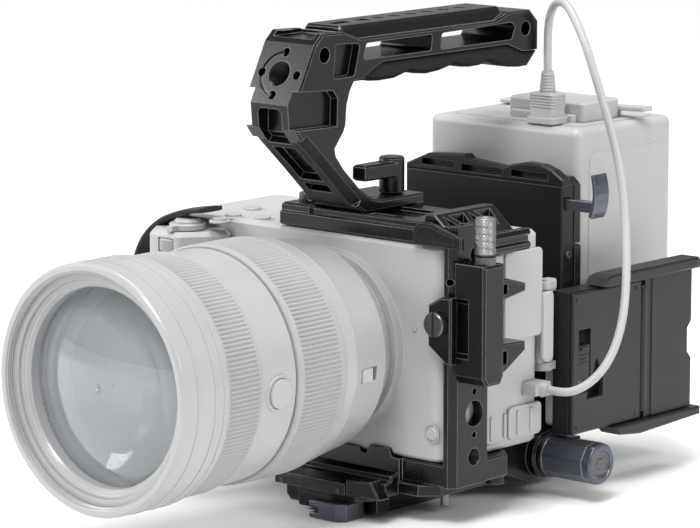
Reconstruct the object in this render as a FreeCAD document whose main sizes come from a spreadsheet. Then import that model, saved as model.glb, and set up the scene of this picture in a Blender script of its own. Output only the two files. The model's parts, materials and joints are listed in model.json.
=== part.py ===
"""Cinema camera rig: half cage, top handle, cable clamp, quick-release base and battery plate.

Every sub-part is drawn from one datum, the optical axis at the camera's front face (X to the
port side, Y to the back, Z up). The spreadsheet cells face_y and axis_z carry that datum into
the part's own frame, whose origin is the tripod thread's mouth in the base's standing face.
"""
import FreeCAD, Part
import math
import os
import re
import Sketcher
from FreeCAD import Placement, Rotation, Vector

doc = FreeCAD.newDocument("camera_rig")
sheet = doc.addObject("Spreadsheet::Sheet", "dims")

# Driving dimensions, mm. A range such as bar_x0, bar_x1 is a low and a high face.
CELLS = {
    "datum": {"face_y": -24.0, "axis_z": 62.3, "run_gap": 0.05, "clear_gap": 0.3},
    "camera": {
        "cam_x0": -78.0, "cam_x1": 51.7, "cam_y1": 56.0, "cam_half": 38.9, "cam_round": 6.0,
        "boss_rad": 33.5, "boss_len": 4.0, "throat_rad": 23.5, "throat_len": 18.0,
        "grip_x1": -47.0, "grip_y0": -21.0, "grip_z1": 35.0, "grip_round": 7.0,
        "mount_rad": 31.0, "flange_y": -6.0, "cap_rad": 2.6, "cap_x": 46.8, "cap_z": -28.4,
        "dial_x": -63.5, "dial_y": -17.0, "dial_rad": 5.2, "dial_z0": 27.6, "dial_z1": 32.4,
        "shut_x": -62.0, "shut_y": -11.0, "shut_rad": 5.0, "zoomer_rad": 6.8,
        "sensor_w": 36.0, "sensor_t": 24.0,
        "port_y": 49.4, "port_z": -18.2, "port_half_y": 4.6, "port_half_z": 2.4, "port_deep": 8.0,
    },
    "screen": {
        "hinge_x": 47.5, "hinge_y": 61.5, "knuckle_rad": 3.9, "knuckle_z0": -10.8,
        "knuckle_z1": 15.6, "pin_rad": 1.5, "ear_tall": 3.0, "panel_x0": 43.5, "panel_x1": 48.5,
        "panel_y0": 68.6, "panel_y1": 137.4, "panel_z0": -37.0, "panel_z1": 12.8,
        "hood_x1": 58.0, "hood_wall": 1.8, "hood_skin": 2.0, "lip_x0": 51.0,
        "lip_x1": 60.6, "lip_y0": 84.0, "lip_y1": 142.6, "lip_high": 19.0, "lip_low": -43.4,
        "lip_low_y0": 89.0, "crease_y0": 108.4, "crease_y1": 114.6,
        "flap_pin_rad": 0.8, "latch_y0": 70.4,
        "latch_y1": 76.8, "latch_z0": -18.4, "latch_z1": -5.6, "latch_room": 6.0,
    },
    "lens": {
        "rim_y": -124.9, "head_y": -102.6, "focus_y0": -102.2, "focus_y1": -84.2,
        "band_y0": -84.0, "band_y1": -66.0, "zoom_y0": -65.8, "zoom_y1": -41.4, "barrel_y": -41.2,
        "head_rad": 43.9, "ring_rad": 42.8, "band_rad": 41.6, "rear_rad": 40.6, "tube_rad": 38.5,
        "tube_bore": 36.6, "slide_rad": 36.3, "slide_bore": 33.6, "slide_y1": -52.0,
        "filter_rad": 41.0, "filter_deep": 3.0, "glass_rad": 35.0, "glass_y": -113.0,
        "inner_glass": 20.0, "inner_y": -26.0, "cell_len": 5.0, "key_z": -19.0, "key_y": -75.0,
        "key_rad": 5.2, "key_out": 43.0, "switch_y": -26.0, "switch_z": -4.0, "switch_long": 9.0,
        "switch_tall": 5.0,
    },
    "cage": {
        "bar_x0": -26.0, "bar_y1": 36.0, "bar_z0": 39.4, "bar_z1": 47.0, "post_x0": 52.0,
        "post_x1": 56.4, "post_y1": 19.2, "post_chamfer": 2.6, "sole_z0": -47.6, "sole_z1": -39.4,
        "sole_x0": -24.0, "sole_y1": 36.0, "thread_big": 4.76, "thread_mid": 2.75, "thread_quarter": 3.175,
        "thread_small": 1.2, "post_hole_y": 12.0, "rail_in_x": 45.0, "rail_in_z": 50.4,
        "rail_out_x0": 56.5, "rail_out_x1": 59.4, "rail_out_z0": 34.6, "rail_out_z1": 42.4,
        "rail_y0": 17.5, "rail_y1": 40.0, "label_x0": 39.5, "label_x1": 61.6, "label_thick": 2.4,
        "tab_thick": 1.8, "screw_rad": 3.3, "screw_tall": 3.0, "screw_shank": 1.9,
    },
    "handle": {
        "grip_half": 12.25, "bed_z0": 47.0, "bed_z1": 50.8, "bed_y0": 3.7, "bed_y1": 37.4,
        "deck_z": 110.3, "crown_z": 115.0, "crown_half": 8.4, "under_z": 95.2, "insert_z": 101.0,
        "insert_half": 13.0, "tail_y": 102.3, "big_hole": 4.76,
        "face_hole_z": 99.5, "face_y0": -29.0, "face_deep": 10.0,
        "trough_half": 5.6, "web_half": 8.8, "lever_x": 4.0, "lever_y": 27.5, "hub_rad": 4.7,
        "hub_z0": 51.0, "hub_z1": 64.4, "arm_z0": 57.2, "arm_long": 18.6,
        "stud_rad": 2.0, "side_hole_y": -18.6, "side_hole_z": 106.0, "side_hole_rad": 2.75,
        "hole_pitch": 9.2,
        "rear_hole_y": 94.6, "slot_z0": 102.6, "slot_z1": 108.4,
    },
    "clamp": {
        "clip_x0": 56.7, "clip_x1": 71.0, "clip_y0": -0.6, "clip_y1": 10.8, "clip_z0": -8.6,
        "clip_z1": 34.4, "screw_x": 66.2, "screw_y": 5.4, "knurl_rad": 3.85, "knurl_z0": 37.4,
        "knurl_z1": 51.0, "lead_rad": 2.0, "washer_rad": 3.9, "jaw_x0": 60.2, "jaw_x1": 69.6,
        "jaw_y1": 24.4, "jaw_hi_z0": 21.2, "jaw_hi_z1": 28.6, "jaw_lo_z0": -5.6, "jaw_lo_z1": 5.4,
        "ear_x0": 48.2, "ear_y0": -4.4, "ear_y1": -0.6, "ear_z0": -1.6, "ear_z1": 22.4,
        "slotted_x": 52.6, "slotted_z": 12.6, "slotted_rad": 4.5, "slotted_y0": -7.0,
    },
    "base": {
        "tongue_x0": -15.0, "tongue_x1": 33.0, "tongue_y0": -14.0, "tongue_z0": -52.6,
        "tongue_z1": -48.4, "badge_x1": 18.7, "slider_x1": 32.6, "slider_y0": -15.4,
        "adapter_x0": -24.0, "adapter_x1": 48.0, "adapter_z0": -52.0, "vice_half": 22.0,
        "nose_x0": -8.0, "nose_x1": 25.0,
        "vice_y0": -12.0, "vice_mid": -2.0, "vice_y1": 28.0, "vice_z1": -52.6, "stand_z": -62.3,
        "swing_x": 17.6, "swing_y": -9.4, "swing_rad": 1.8, "swing_z1": -55.6, "swing_y0": -18.4,
        "swing_x0": 4.6, "jaw_thick": 4.6, "tripod_rad": 3.175, "tripod_deep": 7.0,
        "stop_x": 36.4, "stop_y": 20.0, "stop_rad": 1.7, "tie_rad": 3.05,
    },
    "plate": {
        "plate_half": 38.0, "plate_y0": 85.0, "plate_y1": 92.0, "plate_z0": -45.0, "plate_z1": 50.0,
        "cap_y1": 95.6, "wedge_y1": 96.7, "battery_x0": -36.7, "battery_x1": 35.6,
        "battery_y0": 97.0, "battery_y1": 156.0, "battery_z0": -33.0, "battery_z1": 69.5,
        "battery_round": 3.4, "stem_z0": 41.0, "stem_z1": 45.0, "stem_y0": 86.8, "stem_y1": 90.2,
        "stem_x1": 50.4, "paddle_y0": 86.2, "paddle_y1": 94.6, "outlet_z1": 77.4,
        "foot_x0": -30.0, "foot_x1": 42.0, "foot_y0": 44.0, "foot_y1": 93.0, "foot_z0": -57.4,
        "foot_z1": -39.8, "knob_y": 68.0, "knob_z": -47.4, "knob_rad": 7.8, "knob_x0": 46.4,
        "knob_x1": 71.0, "boss_x1": 46.0, "rear_rail_half": 15.0, "rear_rail_z0": -50.0,
        "rear_rail_z1": -43.6,
    },
    "cable": {"cord_rad": 1.55, "plug_x": 16.2, "plug_y": 103.2, "plug_half": 5.6, "plug_z1": 81.6,
              "relief_z1": 89.6, "relief_rad": 3.0, "tail_x1": 60.6},
    "strap": {"strap_y0": -13.0, "strap_y1": 0.0, "strap_thick": 2.4},
}

DATUM = ("0", "face_y", "axis_z")
PLANES = {"x": "YZ_Plane", "y": "XZ_Plane", "z": "XY_Plane"}
places = {}
subparts = []


def fill_sheet():
    row = 0
    for cells in CELLS.values():
        for alias, number in cells.items():
            row += 1
            sheet.set("A%d" % row, alias)
            sheet.set("B%d" % row, str(number))
            sheet.setAlias("B%d" % row, alias)
    doc.recompute()


def qualify(expression):
    """Every name with an underscore is a cell of the sheet."""
    return re.sub(r"\b([a-z]+(?:_[a-z0-9]+)+)\b", r"dims.\1", str(expression))


def value(expression):
    return float(sheet.evalExpression(qualify(expression)))


def bind(thing, prop, expression):
    thing.setExpression(prop, qualify(expression))


def place(thing, x="0", y="0", z="0"):
    """Bind where a piece stands, from the datum."""
    places[thing.Name] = (str(x), str(y), str(z))
    for letter, expression in zip("xyz", (x, y, z)):
        bind(thing, "Placement.Base." + letter, expression)
    return thing


def finish(node, thing):
    """Name a sub-part and carry it from the datum into the part's frame."""
    thing.Label = node
    own = places.get(thing.Name, ("0", "0", "0"))
    for letter, origin, expression in zip("xyz", DATUM, own):
        bind(thing, "Placement.Base." + letter, "%s + (%s)" % (origin, expression))
    subparts.append((node, thing))
    return thing


def block(x, y, z):
    """A box between pairs of faces."""
    box = doc.addObject("Part::Box", "Block")
    for prop, (low, high) in zip(("Length", "Width", "Height"), (x, y, z)):
        bind(box, prop, "(%s) - (%s)" % (high, low))
    return place(box, x[0], y[0], z[0])


def rod(axis, centre, span, radius):
    """A cylinder along an axis; centre is its place on the other two axes, in order."""
    shaft = doc.addObject("Part::Cylinder", "Rod")
    bind(shaft, "Radius", radius)
    bind(shaft, "Height", "(%s) - (%s)" % (span[1], span[0]))
    if axis == "x":
        shaft.Placement = Placement(Vector(), Rotation(Vector(0, 1, 0), 90))
        return place(shaft, span[0], centre[0], centre[1])
    if axis == "y":
        shaft.Placement = Placement(Vector(), Rotation(Vector(1, 0, 0), -90))
        return place(shaft, centre[0], span[0], centre[1])
    return place(shaft, centre[0], centre[1], span[0])


def outline(body, role, points, offset="0"):
    """A closed sketch whose corners are bound to the sheet."""
    sketch = body.newObject("Sketcher::SketchObject", "Outline")
    support = next(item for item in body.Origin.OriginFeatures if item.Role == role)
    sketch.AttachmentSupport = [(support, "")]
    sketch.MapMode = "FlatFace"
    bind(sketch, "AttachmentOffset.Base.z", offset)
    spots = [Vector(value(a), value(b), 0) for a, b in points]
    for start, end in zip(spots, spots[1:] + spots[:1]):
        sketch.addGeometry(Part.LineSegment(start, end), False)
    count = len(spots)
    for index in range(count):
        sketch.addConstraint(Sketcher.Constraint("Coincident", index, 2, (index + 1) % count, 1))
    for index, (a, b) in enumerate(points):
        across = sketch.addConstraint(
            Sketcher.Constraint("DistanceX", -1, 1, index, 1, spots[index].x))
        up = sketch.addConstraint(
            Sketcher.Constraint("DistanceY", -1, 1, index, 1, spots[index].y))
        bind(sketch, "Constraints[%d]" % across, a)
        bind(sketch, "Constraints[%d]" % up, b)
    return sketch


def soften(body, feature, kind, size, chosen):
    """Fillet or chamfer the chosen edges of a feature."""
    doc.recompute()
    names = ["Edge%d" % (i + 1) for i, edge in enumerate(feature.Shape.Edges) if chosen(edge)]
    dress = body.newObject("PartDesign::" + kind, kind)
    dress.Base = (feature, names)
    bind(dress, "Radius" if kind == "Fillet" else "Size", size)
    body.Tip = dress
    return dress


def along(letter):
    """True for a straight edge parallel to an axis."""
    def test(edge):
        if edge.Curve.TypeId != "Part::GeomLine":
            return False
        return abs(getattr(edge.tangentAt(edge.FirstParameter), letter)) > 0.999
    return test


def prism(axis, points, low, high, corner=None, bevel=None, ends="Chamfer"):
    """A pad along an axis. points are (Y, Z) for x, (X, Z) for y and (X, Y) for z."""
    body = doc.addObject("PartDesign::Body", "Prism")
    offset = "-(%s)" % high if axis == "y" else low
    pad = body.newObject("PartDesign::Pad", "Pad")
    pad.Profile = outline(body, PLANES[axis], points, offset)
    bind(pad, "Length", "(%s) - (%s)" % (high, low))
    body.Tip = pad
    feature = pad
    if corner:
        feature = soften(body, feature, "Fillet", corner, along(axis))
    if bevel:
        faces = (value(low), value(high))

        def at_an_end(edge):
            spot = [getattr(vertex.Point, axis) for vertex in edge.Vertexes]
            return all(min(abs(s - face) for face in faces) < 1e-4 for s in spot) and (
                max(spot) - min(spot) < 1e-4)
        soften(body, feature, ends, bevel, at_an_end)
    return place(body)


def rect(a, b):
    return [(a[0], b[0]), (a[1], b[0]), (a[1], b[1]), (a[0], b[1])]


def spin(axis, centre, points):
    """A revolved piece. points are (place along the axis, radius)."""
    body = doc.addObject("PartDesign::Body", "Spun")
    turn = body.newObject("PartDesign::Revolution", "Revolution")
    if axis == "z":
        turn.Profile = outline(body, "XZ_Plane", [(r, a) for a, r in points])
        turn.ReferenceAxis = (turn.Profile[0], ["V_Axis"])
    else:
        turn.Profile = outline(body, "YZ_Plane" if axis == "y" else "XZ_Plane", points)
        turn.ReferenceAxis = (turn.Profile[0], ["H_Axis"])
    turn.Angle = 360
    body.Tip = turn
    a, b = centre
    where = {"x": ("0", a, b), "y": (a, "0", b), "z": (a, b, "0")}[axis]
    return place(body, *where)


def fuse(*things):
    joined = doc.addObject("Part::MultiFuse", "Joined")
    joined.Shapes = list(things)
    joined.Refine = True
    return joined


def cut(base, *tools):
    trimmed = doc.addObject("Part::Cut", "Trimmed")
    trimmed.Base = base
    trimmed.Tool = tools[0] if len(tools) == 1 else fuse(*tools)
    trimmed.Refine = True
    return trimmed


def group(*things):
    """Identical fasteners, as separate solids of one sub-part."""
    several = doc.addObject("Part::Compound", "Group")
    several.Links = list(things)
    return several


def turned(thing, axis, degrees, about):
    """Turn a piece about a point of the datum."""
    holder = doc.addObject("Part::Compound", "Turned")
    holder.Links = [thing]
    pivot = Vector(*(value(item) for item in about))
    holder.Placement = Placement(Vector(), Rotation(axis, degrees), pivot)
    return place(holder, holder.Placement.Base.x, holder.Placement.Base.y, holder.Placement.Base.z)


# ---------------------------------------------------------------- camera
def camera():
    shell = prism("z", rect(("cam_x0", "cam_x1"), ("0", "cam_y1")), "-cam_half", "cam_half",
                  corner="cam_round", bevel="1.2")
    boss = rod("y", ("0", "0"), ("-boss_len", "1"), "boss_rad")
    throat = rod("y", ("0", "0"), ("-boss_len - 1", "throat_len"), "throat_rad")
    chamber = block(("-sensor_w/2 - 3", "sensor_w/2 + 3"), ("throat_len - 1", "throat_len + 8"),
                    ("-sensor_t/2 - 3", "sensor_t/2 + 3"))
    wells = [
        rod("y", ("cap_x", "cap_z"), ("-1", "3"), "cap_rad + run_gap"),
        rod("z", ("0", "24"), ("-cam_half - 1", "-cam_half + 6.2"), "tie_rad + run_gap"),
        block(("cam_x1 - port_deep", "cam_x1 + 1"), ("port_y - port_half_y", "port_y + port_half_y"),
              ("port_z - port_half_z", "port_z + port_half_z")),
    ]
    finish("camera_body", cut(fuse(shell, boss), throat, chamber, *wells))
    grip = prism("z", [("cam_x0", "-0.1"), ("cam_x0", "-13"), ("cam_x0 + 6", "grip_y0"),
                       ("cam_x0 + 20", "grip_y0"), ("grip_x1 - 3", "-11"), ("grip_x1", "-0.1")],
                 "-36.5", "grip_z1", corner="4", bevel="1.6")
    button_well = rod("z", ("shut_x", "shut_y"), ("grip_z1 - 4", "grip_z1 + 1"),
                      "shut_rad + run_gap")
    dial_well = rod("z", ("dial_x", "dial_y"), ("dial_z0 - 0.2", "dial_z1 + 0.2"),
                    "dial_rad + clear_gap")
    dial_axle = rod("z", ("dial_x", "dial_y"), ("dial_z0 - 1", "dial_z1 + 1"), "1.2")
    finish("grip_shell", fuse(cut(grip, button_well, dial_well), dial_axle))
    finish("front_dial", spin("z", ("dial_x", "dial_y"), [
        ("dial_z0", "1.2 + run_gap"), ("dial_z0", "dial_rad - 0.4"), ("dial_z0 + 0.4", "dial_rad"),
        ("dial_z1 - 0.4", "dial_rad"), ("dial_z1", "dial_rad - 0.4"),
        ("dial_z1", "1.2 + run_gap")]))
    finish("image_sensor", block(("-sensor_w/2", "sensor_w/2"),
                                 ("throat_len + 4.4", "throat_len + 7"),
                                 ("-sensor_t/2", "sensor_t/2")))
    finish("mount_ring", spin("y", ("0", "0"), [
        ("-boss_len - 1.6", "throat_rad - 1.5"), ("-boss_len - 1.6", "mount_rad"),
        ("-boss_len", "mount_rad"), ("-boss_len", "throat_rad - 1.5")]))
    finish("front_button", spin("y", ("cap_x", "cap_z"), [
        ("-0.9", "0"), ("-0.9", "cap_rad - 0.5"), ("-0.4", "cap_rad"), ("2.2", "cap_rad"),
        ("2.2", "0")]))
    finish("shutter_button", spin("z", ("shut_x", "shut_y"), [
        ("grip_z1 - 1.8", "0"), ("grip_z1 - 1.8", "shut_rad"), ("grip_z1 + 3.2", "shut_rad"),
        ("grip_z1 + 4", "shut_rad - 0.8"), ("grip_z1 + 4", "0")]))
    lever = spin("z", ("shut_x", "shut_y"), [
        ("grip_z1 + clear_gap", "shut_rad + run_gap"), ("grip_z1 + clear_gap", "zoomer_rad"),
        ("grip_z1 + 2.2", "zoomer_rad"), ("grip_z1 + 2.6", "zoomer_rad - 0.6"),
        ("grip_z1 + 2.6", "shut_rad + run_gap")])
    nib = block(("shut_x - 1.4", "shut_x + 1.4"), ("shut_y - zoomer_rad - 3", "shut_y - zoomer_rad + 1"),
                ("grip_z1 + clear_gap", "grip_z1 + 2.2"))
    finish("zoom_lever", fuse(lever, nib))


def screen():
    knuckle = rod("z", ("hinge_x", "hinge_y"), ("knuckle_z0", "knuckle_z1"), "knuckle_rad")
    bracket = block(("hinge_x - 3", "hinge_x + 3.2"), ("cam_y1", "hinge_y"),
                    ("knuckle_z0", "knuckle_z1"))
    bore = rod("z", ("hinge_x", "hinge_y"), ("knuckle_z0 - 1", "knuckle_z1 + 1"),
               "pin_rad + run_gap")
    finish("screen_hinge_base", cut(fuse(knuckle, bracket), bore))
    low, high = "knuckle_z0 - clear_gap", "knuckle_z1 + clear_gap"
    ears = []
    for span in ((low + " - ear_tall", low), (high, high + " + ear_tall")):
        ears.append(rod("z", ("hinge_x", "hinge_y"), span, "knuckle_rad"))
        ears.append(block(("hinge_x - 3", "hinge_x + 3"), ("hinge_y", "hinge_y + 4.6"), span))
    spine = block(("hinge_x - 3", "hinge_x + 0.8"), ("hinge_y + 4.4", "panel_y0"),
                  (low + " - ear_tall", high + " + ear_tall"))
    arm_bore = rod("z", ("hinge_x", "hinge_y"), ("knuckle_z0 - 6", "knuckle_z1 + 6"), "pin_rad")
    finish("screen_arm", cut(fuse(spine, *ears), arm_bore))
    hinge_pin = rod("z", ("hinge_x", "hinge_y"), (low + " - ear_tall", high + " + ear_tall"),
                    "pin_rad")
    flap_pin = rod("z", ("hood_x1 - 1.2", "crease_y0 + 1.6"),
                   ("panel_z0 + 1.2", "panel_z1 - 1.2"), "flap_pin_rad")
    finish("screen_pins", group(hinge_pin, flap_pin))
    finish("screen_panel", prism("x", rect(("panel_y0", "panel_y1"), ("panel_z0", "panel_z1")),
                                 "panel_x0", "panel_x1", corner="2.5", bevel="0.5"))


def hood():
    """The folded sun hood clipped over the open screen: a frame with two flush leaves."""
    skin_x = "hood_x1 - hood_skin"
    full_y = ("panel_y0 - hood_wall", "panel_y1 + hood_wall")
    full_z = ("panel_z0 - hood_wall", "panel_z1 + hood_wall")
    leaf_z = ("panel_z0 - 1.4", "panel_z1 + 1.4")
    shell = block(("panel_x1 + 0.1", skin_x + " - 0.1"), full_y, full_z)
    hollow = block(("panel_x1 - 1", "hood_x1"), ("panel_y0 + 1.2", "panel_y1 - 1.2"),
                   ("panel_z0 + 1.2", "panel_z1 - 1.2"))
    cover_top = prism("x", [("lip_y0 - 2", "panel_z1 + 2.4"), ("lip_y0", "lip_high - 0.8"),
                            ("lip_y0 + 4", "lip_high"), ("lip_y1 - 1.6", "lip_high"),
                            ("lip_y1", "lip_high - 2"), ("lip_y1", "panel_z1 + 2"),
                            ("lip_y0 + 22", "panel_z1 + 1.7"), ("lip_y0 + 2", "panel_z1 + 1.7")],
                      "lip_x0", "lip_x1", bevel="0.8")
    cover_low = prism("x", [("lip_low_y0", "panel_z0 - 1.7"), ("lip_low_y0 + 3.6", "lip_low + 1.4"),
                            ("lip_low_y0 + 16", "lip_low"), ("lip_y1", "lip_low + 1.6"),
                            ("lip_y1", "panel_z0 - 1.7")],
                      "lip_x0", "lip_x1", bevel="0.6")
    thumb_notch = prism("x", [("panel_y1 + 2", "-5"), ("panel_y1 - 0.6", "-8"),
                              ("panel_y1 - 0.6", "-17"), ("panel_y1 + 2", "-20")],
                        "panel_x1 + 1", "lip_x1 + 1")
    link = block(("lip_x0 + 1", skin_x + " - 0.1"), ("lip_y0 + 4", "lip_y1 - 5"),
                 ("panel_z1 + 1", "panel_z1 + 3"))
    low_link = block(("lip_x0 + 1", skin_x + " - 0.1"), ("lip_low_y0 + 4", "lip_y1 - 5"),
                     ("panel_z0 - 3", "panel_z0 - 1"))
    finish("hood_frame", cut(fuse(shell, cover_top, cover_low, link, low_link), hollow,
                             thumb_notch))
    latch_slot = block((skin_x + " - 1", "hood_x1 + 1"), ("latch_y0 - 0.4", "latch_y1 + 0.4"),
                       ("latch_z0 - 5", "latch_z1 + latch_room"))
    front = prism("x", rect(("panel_y0 - hood_wall", "crease_y0 - 0.4"), leaf_z), skin_x,
                  "hood_x1", bevel="0.5")
    scoop = prism("x", [("latch_y1 + 4", "-11"), ("latch_y1 + 8", "-18"), ("latch_y1 + 8", "-26"),
                        ("latch_y1 - 2", "-26"), ("latch_y1 + 1", "-18")],
                  skin_x + " - 1", "hood_x1 + 1")
    finish("hood_front_panel", cut(front, latch_slot, scoop))
    hinge_at = ("hood_x1 - 1.2", "crease_y0 + 1.6")
    pinhole = rod("z", hinge_at, ("panel_z0 - 4", "panel_z1 + 4"), "flap_pin_rad + run_gap")
    barrel_span = ("panel_z0 + 1.6", "panel_z1 - 1.6")
    barrel = rod("z", hinge_at, barrel_span, "1.6")
    leaf = prism("x", rect(("crease_y0 + 1.6", "panel_y1 + hood_wall"), leaf_z), skin_x,
                 "hood_x1")
    crease = block(("hood_x1 - 0.4", "hood_x1 + 1"), ("crease_y0 + 3.4", "crease_y1"),
                   ("panel_z0 - 4", "panel_z1 + 4"))
    finish("hood_rear_flap", cut(fuse(barrel, leaf), pinhole, thumb_notch, crease))
    slide = block(("hood_x1 - 3.6", "hood_x1 - 0.2"), ("latch_y0", "latch_y1"),
                  ("latch_z0", "latch_z1"))
    rib = block(("hood_x1 - 0.3", "hood_x1 + 0.5"), ("latch_y0 + 1", "latch_y1 - 1"),
                ("latch_z1 - 1.8", "latch_z1 - 0.6"))
    finish("hood_latch", fuse(slide, rib))


# ---------------------------------------------------------------- lens
def lens():
    flange = spin("y", ("0", "0"), [
        ("-8.6", "throat_rad - 6"), ("-8.6", "mount_rad + 1"), ("flange_y + 0.3", "mount_rad + 1"),
        ("flange_y + 0.3", "throat_rad - 2"), ("2", "throat_rad - 2"), ("2", "throat_rad - 6")])
    barrel = spin("y", ("0", "0"), [
        ("band_y0 - 18.4", "tube_bore"), ("band_y0 - 18.4", "tube_rad"), ("barrel_y", "tube_rad"),
        ("barrel_y", "rear_rad + 0.6"), ("-34", "rear_rad + 0.6"), ("-31", "rear_rad"),
        ("-16", "rear_rad - 2"), ("-9.6", "boss_rad + 1"), ("-8.6", "boss_rad"),
        ("-8.6", "throat_rad"), ("-14", "throat_rad"), ("-34", "tube_bore")])
    switch_slot = block(("rear_rad - 5", "rear_rad + 6"),
                        ("switch_y - switch_long/2 - 0.3", "switch_y + switch_long/2 + 0.3"),
                        ("switch_z - switch_tall/2", "switch_z + switch_tall/2"))
    finish("af_switch", block(("rear_rad - 3.9", "rear_rad + 0.3"),
                              ("switch_y - switch_long/2", "switch_y + 0.6"),
                              ("switch_z - switch_tall/2 + 0.1", "switch_z + switch_tall/2 - 0.1")))
    band = spin("y", ("0", "0"), [
        ("band_y0", "tube_rad"), ("band_y0", "band_rad - 0.6"), ("band_y0 + 0.6", "band_rad"),
        ("band_y1 - 0.6", "band_rad"), ("band_y1", "band_rad - 0.6"), ("band_y1", "tube_rad")])
    hold_well = turned(rod("x", ("key_y", "0"), ("tube_rad + 0.4", "key_out + 2"),
                           "key_rad + run_gap"), Vector(0, 1, 0), 4, ("0", "key_y", "0"))
    cell = spin("y", ("0", "0"), [
        ("inner_y - cell_len", "inner_glass"), ("inner_y - cell_len", "inner_glass + 3"),
        ("inner_y", "inner_glass + 3"), ("inner_y + 8", "throat_rad + 3.4"),
        ("inner_y + cell_len + 7", "throat_rad"), ("inner_y + cell_len", "inner_glass")])
    finish("lens_barrel", cut(fuse(barrel, band, cell, flange), switch_slot, hold_well))
    finish("focus_hold_button", turned(rod("x", ("key_y", "0"), ("tube_rad + 1.2", "key_out"),
                                           "key_rad"), Vector(0, 1, 0), 4, ("0", "key_y", "0")))
    for node, low, high in (("zoom_ring", "zoom_y0", "zoom_y1"),
                            ("focus_ring", "focus_y0", "focus_y1")):
        finish(node, spin("y", ("0", "0"), [
            (low, "tube_rad + run_gap"), (low, "ring_rad - 0.7"), (low + " + 0.7", "ring_rad"),
            (high + " - 0.7", "ring_rad"), (high, "ring_rad - 0.7"), (high, "tube_rad + run_gap")]))
    finish("front_barrel", spin("y", ("0", "0"), [
        ("rim_y", "filter_rad"), ("rim_y", "head_rad - 0.8"), ("rim_y + 0.8", "head_rad"),
        ("head_y", "head_rad"), ("head_y", "slide_rad"), ("slide_y1", "slide_rad"),
        ("slide_y1", "slide_bore"), ("glass_y + 6", "slide_bore"), ("glass_y + 6", "glass_rad"),
        ("glass_y - 5.4", "glass_rad"), ("glass_y - 5.4", "filter_rad - 3"),
        ("rim_y + filter_deep", "filter_rad - 3"), ("rim_y + filter_deep", "filter_rad")]))
    finish("front_element", lens_glass("glass_rad", "glass_y", 7.0, 3.2, 1.5))
    finish("rear_element", lens_glass("inner_glass", "inner_y", 4.0, 3.0, 1.2))


def lens_glass(radius, y, front_bulge, rear_bulge, edge):
    """A glass element between two spheres: arcs through the rim, turned about the axis."""
    rim, seat = value(radius), value(y)
    front = Vector(0, seat - edge - front_bulge, 0)
    back = Vector(0, seat + edge + rear_bulge, 0)

    def arc(tip, side):
        rim_spot = Vector(0, seat + side * edge, rim)
        bulge = abs(tip.y - rim_spot.y)
        sphere = (rim * rim + bulge * bulge) / (2 * bulge)
        middle = Vector(0, tip.y - side * (sphere - math.sqrt(sphere ** 2 - (rim / 2) ** 2)),
                        rim / 2)
        return Part.Arc(tip, middle, rim_spot).toShape(), rim_spot

    front_arc, front_rim = arc(front, -1)
    back_arc, back_rim = arc(back, 1)
    wire = Part.Wire([front_arc, Part.makeLine(front_rim, back_rim), back_arc,
                      Part.makeLine(back, front)])
    glass = doc.addObject("Part::Feature", "Glass")
    glass.Shape = Part.Face(wire).revolve(Vector(), Vector(0, 1, 0), 360)
    return place(glass)


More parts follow.
